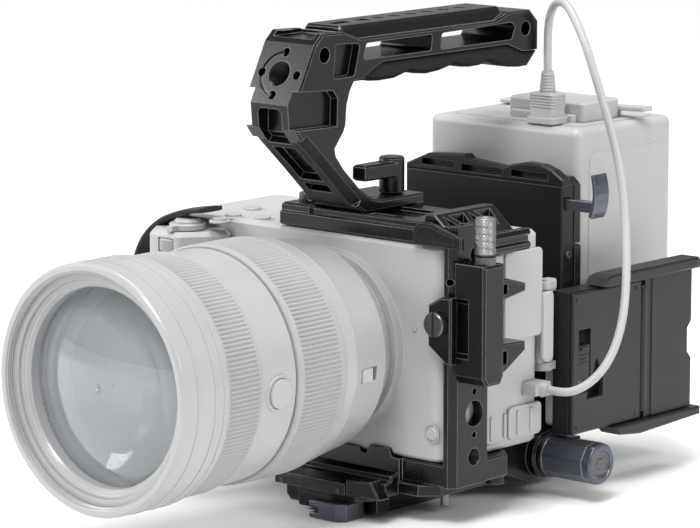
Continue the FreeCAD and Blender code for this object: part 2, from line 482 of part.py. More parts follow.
# ---------------------------------------------------------------- cage
def cage():
    side = [("0", "sole_z0"), ("post_y1", "sole_z0"), ("post_y1", "bar_z1"), ("0", "bar_z1")]
    post = prism("x", side, "post_x0", "post_x1")
    top = prism("z", [("bar_x0", "0"), ("post_x1", "0"), ("post_x1", "rail_y0"),
                      ("rail_in_x + 4", "bar_y1"), ("bar_x0 + 6", "bar_y1"),
                      ("bar_x0", "bar_y1 - 8")], "bar_z0", "bar_z1 - 2.2", bevel="0.6")
    deck = prism("z", [("-20", "2"), ("rail_in_x - 6", "2"), ("rail_in_x - 3", "bar_y1 - 4"),
                       ("-16", "bar_y1 - 4")], "bar_z1 - 2.4", "bar_z1", bevel="0.5")
    corner_block = prism("z", rect(("bar_x0", "-12.4"), ("1", "20")), "bar_z0 + 0.2",
                         "bar_z1 + 0.6", bevel="0.8")
    shoulder = prism("y", [("rail_in_x - 4", "bar_z1 - 3"), ("rail_in_x - 2.2", "rail_in_z"),
                           ("rail_in_x + 2", "rail_in_z"), ("post_x1", "rail_out_z1"),
                           ("post_x1", "bar_z0 + 0.2"), ("post_x1 - 6", "bar_z0 + 0.2")],
                     "0.6", "33.6", bevel="0.4")
    windows = [prism("z", corners, "bar_z0 - 1", "rail_in_z + 1") for corners in (
        [("rail_in_x + 3", "4"), ("post_x1 - 1.6", "4"), ("post_x1 - 1.6", "11")],
        [("rail_in_x + 3", "7"), ("post_x1 - 2.6", "14"), ("rail_in_x + 3", "15.4")],
        [("rail_in_x + 3", "18"), ("post_x1 - 1.6", "16.6"), ("post_x1 - 1.6", "24.6")],
        [("rail_in_x + 3", "21"), ("post_x1 - 2.6", "28.4"), ("rail_in_x + 3", "30")])]
    sole = prism("z", [("sole_x0", "0"), ("post_x1", "0"), ("post_x1", "sole_y1 - 5"),
                       ("post_x1 - 5", "sole_y1"), ("sole_x0", "sole_y1")],
                 "sole_z0", "sole_z1", bevel="0.6")
    tab_left = prism("y", [("2", "sole_z1 - 2"), ("3.6", "-37.6"), ("14", "-37.6"),
                           ("15.6", "sole_z1 - 2")], "-tab_thick", "-0.1")
    tab_right = prism("y", [("17", "sole_z1 - 2"), ("18.6", "-36.2"), ("28", "-36.2"),
                            ("30.4", "sole_z1 - 2")], "-tab_thick", "-0.1")
    tab_root = prism("x", [("-tab_thick", "sole_z0"), ("1", "sole_z0"), ("1", "sole_z1"),
                           ("-tab_thick", "sole_z1")], "-14", "33")
    pocket = prism("z", [("-8", "8"), ("32", "8"), ("30", "24"), ("-6", "24")],
                   "bar_z1 - 1.4", "bar_z1 + 1")
    slot_a = block(("14", "24"), ("3.6", "6.4"), ("bar_z0 - 1", "bar_z1 + 1"))
    slot_b = block(("-8", "6"), ("27", "30.6"), ("bar_z0 - 1", "bar_z1 + 1"))
    edge_cut = prism("z", [("post_x1 - post_chamfer", "-0.1"), ("post_x1 + 0.1", "-0.1"),
                           ("post_x1 + 0.1", "post_chamfer")], "sole_z0 - 1", "bar_z1 + 8")
    holes = [rod("x", ("post_hole_y", height), ("post_x0", "post_x1 + 1"), radius)
             for height, radius in (("-13.6", "thread_small"), ("-21.6", "thread_big"),
                                    ("-29.4", "thread_small"), ("-37.4", "thread_quarter"),
                                    ("36", "thread_mid"))]
    holes.append(rod("z", ("0", "24"), ("sole_z0 - 1", "sole_z1 + 1"), "tie_rad"))
    holes.append(rod("y", ("54.2", "27"), ("-1", "8"), "thread_small"))
    for x in ("bar_x0 + 4", "bar_x0 + 10"):
        holes.append(rod("z", (x, "10"), ("bar_z0 - 1", "bar_z1 + 2"), "screw_shank"))
    foot_stud = rod("z", ("50.6", "31"), ("sole_z0 - 3.4", "sole_z0 + 1"), "3.3")
    frame = fuse(post, top, deck, corner_block, shoulder, sole, tab_left, tab_right, tab_root,
                 foot_stud)
    finish("half_cage", cut(frame, pocket, slot_a, slot_b, edge_cut, *(holes + windows)))
    rail = prism("y", [("rail_out_x0", "rail_out_z0"), ("rail_out_x1 - 1", "rail_out_z0"),
                       ("rail_out_x1", "rail_out_z0 + 1"), ("rail_out_x1", "rail_out_z0 + 2.4"),
                       ("rail_out_x1 - 1.2", "rail_out_z0 + 3.2"),
                       ("rail_out_x1 - 1.2", "rail_out_z1 - 2.8"),
                       ("rail_out_x1", "rail_out_z1 - 2"), ("rail_out_x1 - 0.8", "rail_out_z1"),
                       ("rail_out_x0", "rail_out_z1")], "rail_y0 + 2", "rail_y1", bevel="0.4")
    finish("side_rail", rail)
    finish("name_plate", prism("y", [
        ("label_x0", "bar_z0"), ("label_x0", "bar_z1 - 1.4"), ("label_x0 + 3", "bar_z1 + 1"),
        ("label_x0 + 8", "bar_z1 + 1"), ("label_x1", "bar_z0 + 4.4"), ("label_x1", "bar_z0")],
        "-label_thick - 0.1", "-0.1", bevel="0.5"))
    finish("cage_screws", group(*[cap_screw(x, "10") for x in ("bar_x0 + 4", "bar_x0 + 10")]))


def cap_screw(x, y):
    """A socket cap screw standing in the cage's top corner."""
    seat = "bar_z1 + 0.6"
    body = spin("z", (x, y), [
        ("bar_z0 + 0.6", "0"), ("bar_z0 + 0.6", "screw_shank"), (seat, "screw_shank"),
        (seat, "screw_rad - 0.6"), (seat + " + screw_tall - 0.4", "screw_rad - 0.6"),
        (seat + " + screw_tall", "screw_rad - 1"), (seat + " + screw_tall", "1.2"),
        (seat + " + 1", "1.2"), (seat + " + 1", "0")])
    return body


# ---------------------------------------------------------------- top handle
def handle():
    side = [("bed_y1 - 1", "bed_z0"), ("bed_y1 - 1", "bed_z1"), ("11.5", "bed_z1"),
            ("7.1", "52.1"), ("0.5", "56.5"), ("-7.6", "64"), ("-12", "69.4"),
            ("-12.6", "72"), ("-8", "77.4"), ("-6.8", "80"),
            ("-6.2", "87"), ("-4.6", "91.6"), ("-2.2", "under_z"), ("96.4", "under_z"),
            ("tail_y", "97.4"), ("tail_y", "108.4"), ("97.6", "112.8"), ("85.5", "113"),
            ("77", "deck_z"), ("0.8", "deck_z"), ("-7.5", "113.2"), ("-19.6", "113.6"),
            ("-23.6", "110"), ("-34.4", "89.2"), ("-33.6", "80.4"), ("-29.6", "75.6"),
            ("-15.7", "63.4"), ("-2", "50.4"), ("3.7", "bed_z0")]
    body = prism("x", side, "-grip_half", "grip_half", bevel="0.7")
    trims = [front_trim(side_sign, ("-2", "50.4"), ("-29.6", "75.6")) for side_sign in (1, -1)]
    crown = prism("y", [("-crown_half - 2.6", "deck_z - 0.4"), ("-crown_half", "crown_z - 1"),
                        ("-crown_half + 1", "crown_z"), ("crown_half - 1", "crown_z"),
                        ("crown_half", "crown_z - 1"), ("crown_half + 2.6", "deck_z - 0.4")],
                  "-6", "84", bevel="0.8")
    shoe = [block(("-9.3", "9.3"), ("-30", "-6.6"), ("crown_z - 3.4", "crown_z - 1.6")),
            block(("-6.2", "6.2"), ("-30", "-6.6"), ("crown_z - 2", "crown_z + 2"))]
    insert_room = prism("x", [("5.6", "under_z - 8"), ("3", "under_z + 1.4"),
                              ("13", "insert_z"), ("84", "insert_z"), ("93", "under_z + 2.4"),
                              ("tail_y + 2", "under_z + 2.4"), ("tail_y + 2", "under_z - 8")],
                        "-grip_half - 2", "grip_half + 2")
    front_slot = prism("x", [("2", "slot_z0"), ("40", "slot_z0"), ("40.6", "slot_z1"),
                             ("4", "slot_z1")], "-grip_half - 2", "grip_half + 2", corner="1.2")
    rear_slot = prism("x", [("45", "slot_z0"), ("86.4", "slot_z0"), ("88.6", "slot_z1 - 1"),
                            ("86", "slot_z1 + 0.6"), ("46", "slot_z1")],
                      "-grip_half - 2", "grip_half + 2", corner="1.2")
    pockets = []
    for near, far in (("web_half", "grip_half + 1"), ("-grip_half - 1", "-web_half")):
        pockets.append(prism("x", [("-14", "97"), ("-2.6", "97.2"), ("0.6", "108.6"),
                                   ("-12.6", "109.4")], near, far, corner="1.4"))
        pockets.append(prism("x", [("-36.6", "94.4"), ("-14", "93"), ("-11.6", "90"),
                                   ("-12", "80"), ("-36.6", "80.6")], near, far))
    trough = prism("y", rect(("-trough_half", "trough_half"), ("70", "87.6")), "-45", "-28.6",
                   corner="2")
    channels = [turned(block(("-trough_half", "trough_half"), span, ("56", "66.4")),
                       Vector(1, 0, 0), -41.5, ("0", "-16", "63"))
                for span in (("-47", "-33"), ("-30.4", "-10.4"), ("-8", "-3.6"))]
    top_holes = [rod("z", ("0", "24.5 + %d * hole_pitch" % index),
                     ("crown_z - 6", "crown_z + 1"), "thread_mid") for index in range(6)]
    windows = [block(("-2.6", "2.6"), (low, high), ("crown_z - 6", "crown_z + 1"))
               for low, high in (("-2", "9"), ("12.5", "19.5"))]
    face_hole = turned(rod("y", ("0", "face_hole_z"), ("-60", "face_y0 + face_deep"), "big_hole"),
                       Vector(1, 0, 0), -27, ("0", "face_y0", "face_hole_z"))
    ring = cut(rod("y", ("0", "face_hole_z"), ("-60", "face_y0 + 1"), "8.8"),
               rod("y", ("0", "face_hole_z"), ("-60", "face_y0 + 2"), "7.6"),
               block(("0", "10"), ("-61", "face_y0 + 2"), ("face_hole_z - 10", "face_hole_z + 10")))
    face_groove = turned(ring, Vector(1, 0, 0), -27, ("0", "face_y0", "face_hole_z"))
    face_dots = [turned(rod("y", (x, z), ("-60", "face_y0 + 3"), "1.7"), Vector(1, 0, 0), -27,
                        ("0", "face_y0", "face_hole_z"))
                 for x, z in (("-8.2", "face_hole_z"), ("8.2", "face_hole_z"),
                              ("0", "face_hole_z + 8.2"), ("0", "face_hole_z - 8.2"))]
    cross = [rod("x", (y, z), ("-grip_half - 2", "grip_half + 2"), radius)
             for y, z, radius in (("side_hole_y", "side_hole_z", "side_hole_rad"),
                                  ("rear_hole_y", "side_hole_z", "side_hole_rad"))]
    bed_well = rod("z", ("lever_x", "lever_y"), ("bed_z0 - 1", "bed_z1 + 2"),
                   "stud_rad + run_gap")
    spent = shoe + [insert_room, front_slot, rear_slot, trough, face_hole, face_groove, bed_well]
    finish("handle_body", cut(fuse(body, crown), *(spent + channels + pockets + top_holes
                                                   + windows + face_dots + cross + trims)))
    scallops = [("5.8", "under_z - 0.6"), ("11.5", "94.2"), ("20", "94.4"), ("27", "96"),
                ("31", "95"), ("37.7", "94.3"), ("45", "94.8"), ("51.9", "96.1"), ("57", "95"),
                ("62.2", "94.5"), ("68", "94.6"), ("72.7", "95.5"), ("78", "93.6"), ("85", "92.4"),
                ("91.6", "91.8"), ("96.4", "92"), ("tail_y - 0.6", "97.2"),
                ("93.1", "under_z + 2.2"), ("84.1", "insert_z - 0.2"), ("13", "insert_z - 0.2"),
                ("3.4", "under_z + 1.6")]
    finish("handle_grip_insert", prism("x", scallops, "-insert_half", "insert_half", bevel="1.5"))
    hub = spin("z", ("lever_x", "lever_y"), [
        ("hub_z0", "0"), ("hub_z0", "hub_rad - 0.6"), ("hub_z0 + 0.6", "hub_rad"),
        ("hub_z1 - 0.6", "hub_rad"), ("hub_z1", "hub_rad - 0.6"), ("hub_z1", "0")])
    arm = prism("z", [("lever_x - 3", "lever_y"), ("lever_x - 2.6", "lever_y - arm_long"),
                      ("lever_x + 3.4", "lever_y - arm_long"), ("lever_x + 4.6", "lever_y")],
                "arm_z0", "hub_z1 - 1.4", bevel="0.8")
    stud = rod("z", ("lever_x", "lever_y"), ("bed_z0 + 0.2", "hub_z0 + 1"), "stud_rad")
    finish("handle_lever", fuse(hub, arm, stud))


def front_trim(side, low, high):
    """A long bevel on one front edge of the handle, between two corners of its outline."""
    a = Vector(side * value("grip_half"), value(low[0]), value(low[1]))
    b = Vector(side * value("grip_half"), value(high[0]), value(high[1]))
    way = (b - a).normalize()
    slab = block(("-2.2", "2.2"), ("-2.2", "2.2"), ("-1", "%r" % ((b - a).Length + 1)))
    tilt = Rotation(Vector(0, 0, 1), way).multiply(Rotation(Vector(0, 0, 1), 45))
    holder = doc.addObject("Part::Compound", "Trim")
    holder.Links = [slab]
    holder.Placement = Placement(a, tilt)
    return place(holder, a.x, a.y, a.z)


# ---------------------------------------------------------------- cable clamp on the port side
def cable_clamp():
    spine = prism("x", [("clip_y0", "clip_z0 + 3"), ("clip_y0 + 2", "clip_z0"),
                        ("clip_y1 - 1.6", "clip_z0"), ("clip_y1", "clip_z0 + 3"),
                        ("clip_y1", "clip_z1"), ("clip_y0", "clip_z1")],
                  "clip_x0", "clip_x1", bevel="0.9")
    relief = prism("x", [("clip_y0 - 1", "0"), ("clip_y0 + 2.2", "2"), ("clip_y0 + 2.2", "20"),
                         ("clip_y0 - 1", "23")], "clip_x0 - 1", "clip_x0 + 7")
    guide = block(("jaw_x0 - clear_gap", "jaw_x1 + clear_gap"), ("clip_y1 - 5.3", "clip_y1 + 1"),
                  ("jaw_hi_z0 - 3.6", "jaw_hi_z1 + clear_gap"))
    lead_bore = rod("z", ("screw_x", "screw_y"), ("jaw_hi_z1 - 3", "clip_z1 + 1"),
                    "lead_rad + run_gap")
    finger_low = prism("x", [("clip_y1 - 0.2", "jaw_lo_z0"), ("clip_y1 + 3", "jaw_lo_z0 + 1"),
                             ("jaw_y1", "1.4"), ("jaw_y1", "jaw_lo_z1 - 0.8"),
                             ("clip_y1 - 0.2", "jaw_lo_z1")], "jaw_x0", "jaw_x1", bevel="0.5")
    notch_low = block(("jaw_x0 + 3", "jaw_x1 + 2"), ("clip_y1 + 0.6", "clip_y1 + 3.2"),
                      ("-2.4", "2.6"))
    finish("clamp_spine", cut(fuse(spine, finger_low), relief, guide, lead_bore, notch_low))
    finger = prism("x", [("clip_y1 - 5", "jaw_hi_z0"), ("clip_y1 + 3", "jaw_hi_z0"),
                         ("jaw_y1", "jaw_hi_z0 + 1.6"), ("jaw_y1", "jaw_hi_z1 - 3"),
                         ("clip_y1 + 3", "jaw_hi_z1"), ("clip_y1 - 5", "jaw_hi_z1")],
                   "jaw_x0", "jaw_x1", bevel="0.5")
    notch = block(("jaw_x0 + 3", "jaw_x1 + 2"), ("clip_y1 + 0.6", "clip_y1 + 3.2"),
                  ("jaw_hi_z0 + 1.6", "jaw_hi_z1 - 2"))
    finish("clamp_upper_jaw", cut(finger, notch))
    finish("clamp_thumbscrew", spin("z", ("screw_x", "screw_y"), [
        ("jaw_hi_z1 + clear_gap", "0"), ("jaw_hi_z1 + clear_gap", "lead_rad"),
        ("knurl_z0", "lead_rad"), ("knurl_z0", "knurl_rad - 0.6"), ("knurl_z0 + 0.6", "knurl_rad"),
        ("knurl_z1 - 0.6", "knurl_rad"), ("knurl_z1", "knurl_rad - 0.6"), ("knurl_z1", "0")]))
    finish("clamp_washer", spin("z", ("screw_x", "screw_y"), [
        ("clip_z1", "lead_rad + run_gap"), ("clip_z1", "washer_rad"),
        ("knurl_z0 - clear_gap", "washer_rad"),
        ("knurl_z0 - clear_gap", "lead_rad + run_gap")]))
    bracket = prism("y", [("ear_x0", "ear_z0 + 6"), ("ear_x0 + 8.4", "ear_z0"),
                          ("clip_x0 + 2", "ear_z0"), ("clip_x0 + 2", "ear_z1"),
                          ("ear_x0 + 6", "ear_z1"), ("ear_x0", "ear_z1 - 3.4")],
                    "ear_y0", "ear_y1", bevel="0.6")
    screw_bore = rod("y", ("slotted_x", "slotted_z"), ("ear_y0 - 1", "ear_y1 + 1"),
                     "screw_shank + run_gap")
    finish("clamp_bracket", cut(bracket, screw_bore))
    head = spin("y", ("slotted_x", "slotted_z"), [
        ("slotted_y0", "0"), ("slotted_y0", "slotted_rad - 0.5"), ("slotted_y0 + 0.5", "slotted_rad"),
        ("ear_y0 - 0.1", "slotted_rad"), ("ear_y0 - 0.1", "screw_shank"),
        ("-0.1", "screw_shank"), ("-0.1", "0")])
    slot = block(("slotted_x - 0.6", "slotted_x + 0.6"), ("slotted_y0 - 1", "slotted_y0 + 1"),
                 ("slotted_z - 6", "slotted_z + 6"))
    finish("bracket_screw", cut(head, slot))


# ---------------------------------------------------------------- quick-release base
def base():
    tongue = prism("x", [("tongue_y0", "tongue_z0"), ("-tab_thick - 0.1", "tongue_z0"),
                         ("-tab_thick - 0.1", "sole_z0 + 3.4"), ("-6", "sole_z0 + 2.4"),
                         ("-6.4", "sole_z0 + 0.8"), ("-9.6", "sole_z0"),
                         ("tongue_y0", "tongue_z1")], "tongue_x0", "tongue_x1", bevel="0.6")
    slider_room = block(("badge_x1 + 0.2", "tongue_x1 + 1"), ("tongue_y0 - 1", "-9.4"),
                        ("tongue_z0 - 1", "tongue_z1 + 3"))
    adapter = prism("z", [("adapter_x0", "-tab_thick - 0.2"), ("adapter_x1 - 6", "-tab_thick - 0.2"),
                          ("adapter_x1", "4"), ("adapter_x1", "sole_y1 - 2"),
                          ("adapter_x0", "sole_y1 - 2")], "adapter_z0", "sole_z0", bevel="0.4")
    link = block(("tongue_x0 + 1", "tongue_x1 - 1"), ("-tab_thick - 3", "2"),
                 ("adapter_z0 + 0.4", "sole_z0 - 0.4"))
    screw_hole = rod("z", ("0", "24"), ("adapter_z0 - 1", "sole_z0 + 1"), "tie_rad + 2.6")
    stop_hole = rod("z", ("stop_x", "stop_y"), ("adapter_z0 - 1", "sole_z0 + 1"), "stop_rad")
    badge = prism("y", rect(("tongue_x0", "badge_x1"), ("tongue_z0", "tongue_z1")),
                  "tongue_y0 - 1.2", "tongue_y0 + 0.5", corner="0.5")
    tail = prism("y", [("-rear_rail_half + 3", "rear_rail_z0"),
                       ("rear_rail_half - 3", "rear_rail_z0"),
                       ("rear_rail_half", "rear_rail_z0 + 3"), ("rear_rail_half", "rear_rail_z1"),
                       ("-rear_rail_half", "rear_rail_z1"),
                       ("-rear_rail_half", "rear_rail_z0 + 3")],
                 "sole_y1 + 0.1", "plate_y0 - 4.6")
    tail_root = block(("-rear_rail_half + 3", "rear_rail_half - 3"), ("sole_y1 - 3", "sole_y1 + 2"),
                      ("rear_rail_z0", "sole_z0 - 0.1"))
    finish("base_plate", cut(fuse(tongue, adapter, link, badge, tail, tail_root), slider_room,
                             screw_hole, stop_hole))
    finish("plate_slider", prism("y", [("badge_x1 + 0.6", "tongue_z0 + 0.4"),
                                       ("slider_x1 + 2.6", "tongue_z0 + 0.4"),
                                       ("slider_x1 - 1.6", "tongue_z1 + 2.4"),
                                       ("badge_x1 + 0.6", "tongue_z1 + 1.6")],
                                 "slider_y0", "-9.7", bevel="0.4"))
    finish("tripod_screw", spin("z", ("0", "24"), [
        ("adapter_z0 + 0.3", "1.5"), ("adapter_z0 + 0.3", "tie_rad + 2"),
        ("sole_z0 - 0.6", "tie_rad + 2"), ("sole_z0 - 0.6", "tie_rad"), ("-cam_half + 6", "tie_rad"),
        ("-cam_half + 6", "0"), ("adapter_z0 + 2.4", "0"), ("adapter_z0 + 2.4", "1.5")]))
    finish("stop_pin", spin("z", ("stop_x", "stop_y"), [
        ("-60", "0"), ("-60", "stop_rad - 0.5"), ("-59.5", "stop_rad"), ("sole_z0 - 0.4", "stop_rad"),
        ("sole_z0 - 0.4", "0")]))
    vice = prism("y", [("-vice_half + 2", "stand_z"), ("vice_half - 2", "stand_z"),
                       ("vice_half", "stand_z + 2"), ("vice_half", "vice_z1"),
                       ("-vice_half", "vice_z1"), ("-vice_half", "stand_z + 2")],
                 "vice_mid", "vice_y1 + 12", bevel="1")
    nose = prism("z", [("nose_x0", "vice_y0 + 2"), ("nose_x0 + 2", "vice_y0"),
                       ("nose_x1 - 4", "vice_y0"), ("nose_x1", "vice_y0 + 5"),
                       ("nose_x1", "vice_mid + 4"), ("nose_x0", "vice_mid + 4")],
                 "stand_z + 1.6", "vice_z1", bevel="0.5")
    jaw_room = block(("-vice_half - 1", "-vice_half + jaw_thick + 2.4"), ("2", "34"),
                     ("stand_z + 3.7", "vice_z1 + 1"))
    thread = rod("z", ("0", "-face_y"), ("stand_z - 1", "stand_z + tripod_deep"), "tripod_rad")
    pivot_bore = rod("z", ("swing_x", "swing_y"), ("stand_z + 2", "vice_z1 + 1"),
                     "swing_rad + run_gap")
    lever_room = prism("z", [("nose_x0 - 1", "vice_y0 - 1"), ("nose_x1 + 1", "vice_y0 - 1"),
                             ("nose_x1 + 1", "swing_y + 4.6"), ("swing_x - 6", "swing_y + 4.6"),
                             ("swing_x - 8", "vice_y0 + 1.4"), ("nose_x0 - 1", "vice_y0 + 1.4")],
                       "stand_z - 1", "swing_z1 + 0.4")
    finish("release_vice", cut(fuse(vice, nose), jaw_room, thread, lever_room, pivot_bore))
    finish("vice_jaw", prism("y", [("-vice_half + 0.6", "stand_z + 4"),
                                   ("-vice_half + jaw_thick", "stand_z + 4"),
                                   ("-vice_half + jaw_thick", "vice_z1 - 0.3"),
                                   ("-vice_half + 0.6", "vice_z1 - 0.3")], "2.4", "33.6",
                             bevel="0.4"))
    paddle = prism("z", [("swing_x0", "swing_y0"), ("swing_x0 + 12.6", "swing_y0"),
                         ("swing_x + 2.6", "swing_y0 + 2.6"), ("swing_x + 2.8", "swing_y + 2.8"),
                         ("swing_x - 4.6", "swing_y + 2.8"), ("swing_x - 7", "vice_y0 - 1.6"),
                         ("swing_x0 + 1", "vice_y0 - 2.4")], "stand_z + 0.05", "swing_z1",
                   bevel="0.5")
    finger_hole = block(("swing_x0 - 1", "swing_x0 + 4.4"), ("swing_y0 - 1", "vice_y0"),
                        ("-60.2", "-57.6"))
    pivot = rod("z", ("swing_x", "swing_y"), ("swing_z1 - 1", "vice_z1 - 0.2"), "swing_rad")
    finish("release_lever", fuse(cut(paddle, finger_hole), pivot))


# ---------------------------------------------------------------- battery plate and its foot
def battery_mount():
    plate = prism("y", [("-plate_half", "plate_z0 + 4"), ("-plate_half + 4", "plate_z0"),
                        ("plate_half - 4", "plate_z0"), ("plate_half", "plate_z0 + 4"),
                        ("plate_half", "plate_z1"), ("-plate_half", "plate_z1")],
                  "plate_y0", "plate_y1", bevel="0.5")
    stem_slot = block(("14.6", "plate_half + 1"), ("stem_y0 - clear_gap", "stem_y1 + clear_gap"),
                      ("stem_z0 - clear_gap", "stem_z1 + clear_gap"))
    window = prism("y", [("-20", "-34"), ("20", "-34"), ("24", "-12"), ("-24", "-12")],
                   "plate_y0 - 1", "plate_y0 + 3", corner="3")
    screw_holes = [rod("y", (x, z), ("plate_y0 - 1", "plate_y1 + 1"), "screw_shank")
                   for x, z in plate_screw_spots()]
    finish("battery_plate", cut(plate, stem_slot, window, *screw_holes))
    finish("plate_screws", group(*[spin("y", (x, z), [
        ("plate_y0 - 0.4", "0.9"), ("plate_y0 - 0.4", "screw_rad - 0.5"),
        ("plate_y0", "screw_rad"), ("plate_y0", "screw_shank"), ("plate_y1 - 0.2", "screw_shank"),
        ("plate_y1 - 0.2", "0"), ("plate_y0 + 1", "0"), ("plate_y0 + 1", "0.9")])
        for x, z in plate_screw_spots()]))
    hump = prism("y", [("-plate_half", "plate_z1"), ("-plate_half", "plate_z1 + 1.6"),
                       ("-27", "56.4"), ("-9", "57.6"), ("-7", "56"), ("10", "54.6"),
                       ("14", "56"), ("20", "57.2"), ("28", "57"), ("33", "55.4"),
                       ("plate_half", "52.2"), ("plate_half", "plate_z1")],
                 "plate_y0", "plate_y0 + 5", bevel="0.5")
    shelf = prism("y", [("-plate_half", "plate_z1"), ("-plate_half + 3", "plate_z1 + 2.4"),
                        ("plate_half - 3", "plate_z1 + 2.4"), ("plate_half", "plate_z1")],
                  "plate_y0 + 4.6", "cap_y1")
    recesses = [block((low, high), ("plate_y0 - 1", "plate_y0 + 3.2"), (base, base + " + 2.6"))
                for low, high, base in (("-30", "-14", "51.8"), ("-10.6", "9.4", "51.2"),
                                        ("13.4", "31", "51.4"))]
    finish("plate_cap", cut(fuse(hump, shelf), *recesses))
    wedge = prism("y", [("-12", "-26"), ("12", "-26"), ("19", "26"), ("-19", "26")],
                  "plate_y1", "wedge_y1", bevel="1")
    contacts = block(("-9", "9"), ("plate_y1", "battery_y0 + 2.6"), ("28.4", "34"))
    finish("battery_wedge", group(wedge, contacts))
    housing = block(("30", "plate_half + 0.2"), ("plate_y1", "cap_y1"), ("28", "plate_z1 - 0.2"))
    latch_case = prism("z", [("28", "plate_y1"), ("plate_half + 0.6", "plate_y1"),
                             ("plate_half + 0.6", "cap_y1"), ("36", "battery_y0 - 0.4"),
                             ("28", "battery_y0 - 0.4")], "8.6", "27", bevel="0.5")
    finish("release_housing", fuse(housing, latch_case))
    stem = block(("22", "stem_x1"), ("stem_y0", "stem_y1"), ("stem_z0", "stem_z1"))
    paddle = prism("y", [("50.4", "38.8"), ("51.6", "41"), ("52.4", "44.4"), ("52.6", "48"),
                         ("52.2", "51.6"), ("51.2", "55.4"), ("49.8", "55"), ("50.6", "51.4"),
                         ("50.9", "48"), ("50.6", "44.6"), ("49.8", "41.6"), ("49", "39.6")],
                   "paddle_y0", "paddle_y1", bevel="0.4")
    finish("battery_release", fuse(stem, paddle))
    finish("battery_latch", block(("18.4", "22"), ("stem_y0", "stem_y1"), ("stem_z0", "stem_z1")))
    foot = prism("x", [("foot_y0", "-50.6"), ("foot_y0", "foot_z1 - 1.6"),
                       ("foot_y0 + 2", "foot_z1"), ("plate_y0 - 0.2", "foot_z1"),
                       ("plate_y0 - 0.2", "plate_z0 - 0.1"), ("foot_y1", "plate_z0 - 0.1"),
                       ("foot_y1", "foot_z0 + 3"), ("foot_y1 - 3", "foot_z0"),
                       ("60", "foot_z0"), ("52", "-54.4")], "foot_x0", "foot_x1", bevel="0.8")
    boss = spin("x", ("knob_y", "knob_z"), [
        ("foot_x1 - 4", "0"), ("foot_x1 - 4", "knob_rad + 0.8"), ("boss_x1 - 0.8", "knob_rad + 0.8"),
        ("boss_x1", "knob_rad"), ("boss_x1", "0")])
    channel = block(("-rear_rail_half - clear_gap", "rear_rail_half + clear_gap"),
                    ("foot_y0 - 1", "plate_y0 - 4"),
                    ("rear_rail_z0 - clear_gap", "foot_z1 + 1"))
    jaw_room = block(("rear_rail_half - 1", "rear_rail_half + 7"), ("56", "80"),
                     ("rear_rail_z0 - 2", "rear_rail_z1 + 1.4"))
    shaft_bore = rod("x", ("knob_y", "knob_z"), ("rear_rail_half + 4", "boss_x1 + 1"),
                     "stud_rad + 0.5 + run_gap")
    finish("plate_foot", cut(fuse(foot, boss), channel, jaw_room, shaft_bore))
    finish("foot_jaw", block(("rear_rail_half + clear_gap", "rear_rail_half + 5"), ("56.4", "79.6"),
                             ("rear_rail_z0 - 1.7", "rear_rail_z1 + 1")))
    finish("foot_knob", spin("x", ("knob_y", "knob_z"), [
        ("rear_rail_half + 7.4", "0"), ("rear_rail_half + 7.4", "stud_rad + 0.5"),
        ("knob_x0", "stud_rad + 0.5"), ("knob_x0", "knob_rad - 1"), ("knob_x0 + 1", "knob_rad"),
        ("knob_x1 - 1", "knob_rad"), ("knob_x1", "knob_rad - 1"), ("knob_x1", "5"),
        ("knob_x1 - 1", "5"), ("knob_x1 - 1", "0")]))


def plate_screw_spots():
    return [(x, z) for x in ("-30", "30") for z in ("-9.6", "-14.6")]


# ---------------------------------------------------------------- battery and its power cable
def battery():
    body = prism("z", rect(("battery_x0", "battery_x1"), ("battery_y0", "battery_y1")),
                 "battery_z0", "battery_z1", corner="battery_round", bevel="3", ends="Fillet")
    contact_room = block(("-9.6", "9.6"), ("battery_y0 - 1", "battery_y0 + 3.2"), ("27.8", "34.6"))
    finish("battery", cut(body, contact_room))
    raised = prism("z", rect(("-9.4", "27"), ("111.4", "134")), "battery_z1", "outlet_z1",
                   corner="2", bevel="0.8")
    bar = prism("y", [("-31", "70.6"), ("39", "73"), ("39", "74.8"), ("-31", "72.2")],
                "133", "138.4", bevel="0.3")
    finish("battery_outlet_block", fuse(raised, bar))
    plug = prism("z", rect(("plug_x - plug_half", "plug_x + plug_half"),
                           ("plug_y - 4.4", "plug_y + 4.4")), "battery_z1", "plug_z1",
                 corner="1.6", bevel="0.8")
    relief = spin("z", ("plug_x", "plug_y"), [
        ("plug_z1 - 0.5", "0"), ("plug_z1 - 0.5", "relief_rad"),
        ("relief_z1", "cord_rad + 0.7"), ("relief_z1", "0")])
    finish("battery_plug", fuse(plug, relief))
    plug_tail = spin("x", ("port_y", "port_z"), [
        ("cam_x1 + 6", "0"), ("cam_x1 + 6", "3.1"), ("tail_x1", "cord_rad + 0.5"), ("tail_x1", "0")])
    plug_head = block(("cam_x1 - port_deep + 1", "cam_x1 + 6.2"),
                      ("port_y - port_half_y + 0.2", "port_y + port_half_y - 0.2"),
                      ("port_z - port_half_z + 0.2", "port_z + port_half_z - 0.2"))
    finish("camera_plug", fuse(plug_tail, plug_head))
    power_cable()


# The cable's route from the battery's plug to the camera's, by hand, from the datum.
CABLE_ROUTE = [
    (16.2, 103.2, 89.6), (15.8, 103.4, 97.6), (16.1, 103.3, 106.8), (18.6, 102.0, 113.0),
    (23.3, 99.7, 116.5), (28.9, 96.9, 116.7), (34.0, 94.4, 113.8), (39.8, 91.6, 108.6),
    (44.6, 89.6, 102.6), (48.6, 89.0, 94.2), (52.4, 89.3, 84.0), (56.8, 90.1, 71.3),
    (61.2, 89.8, 57.2), (66.0, 86.8, 41.6), (71.4, 80.8, 26.4), (75.6, 74.6, 12.8),
    (77.6, 69.2, 2.4), (77.6, 63.2, -7.0), (75.0, 57.2, -14.0), (70.6, 52.2, -17.8),
    (65.8, 49.8, -18.6), (60.6, 49.4, -18.2),
]


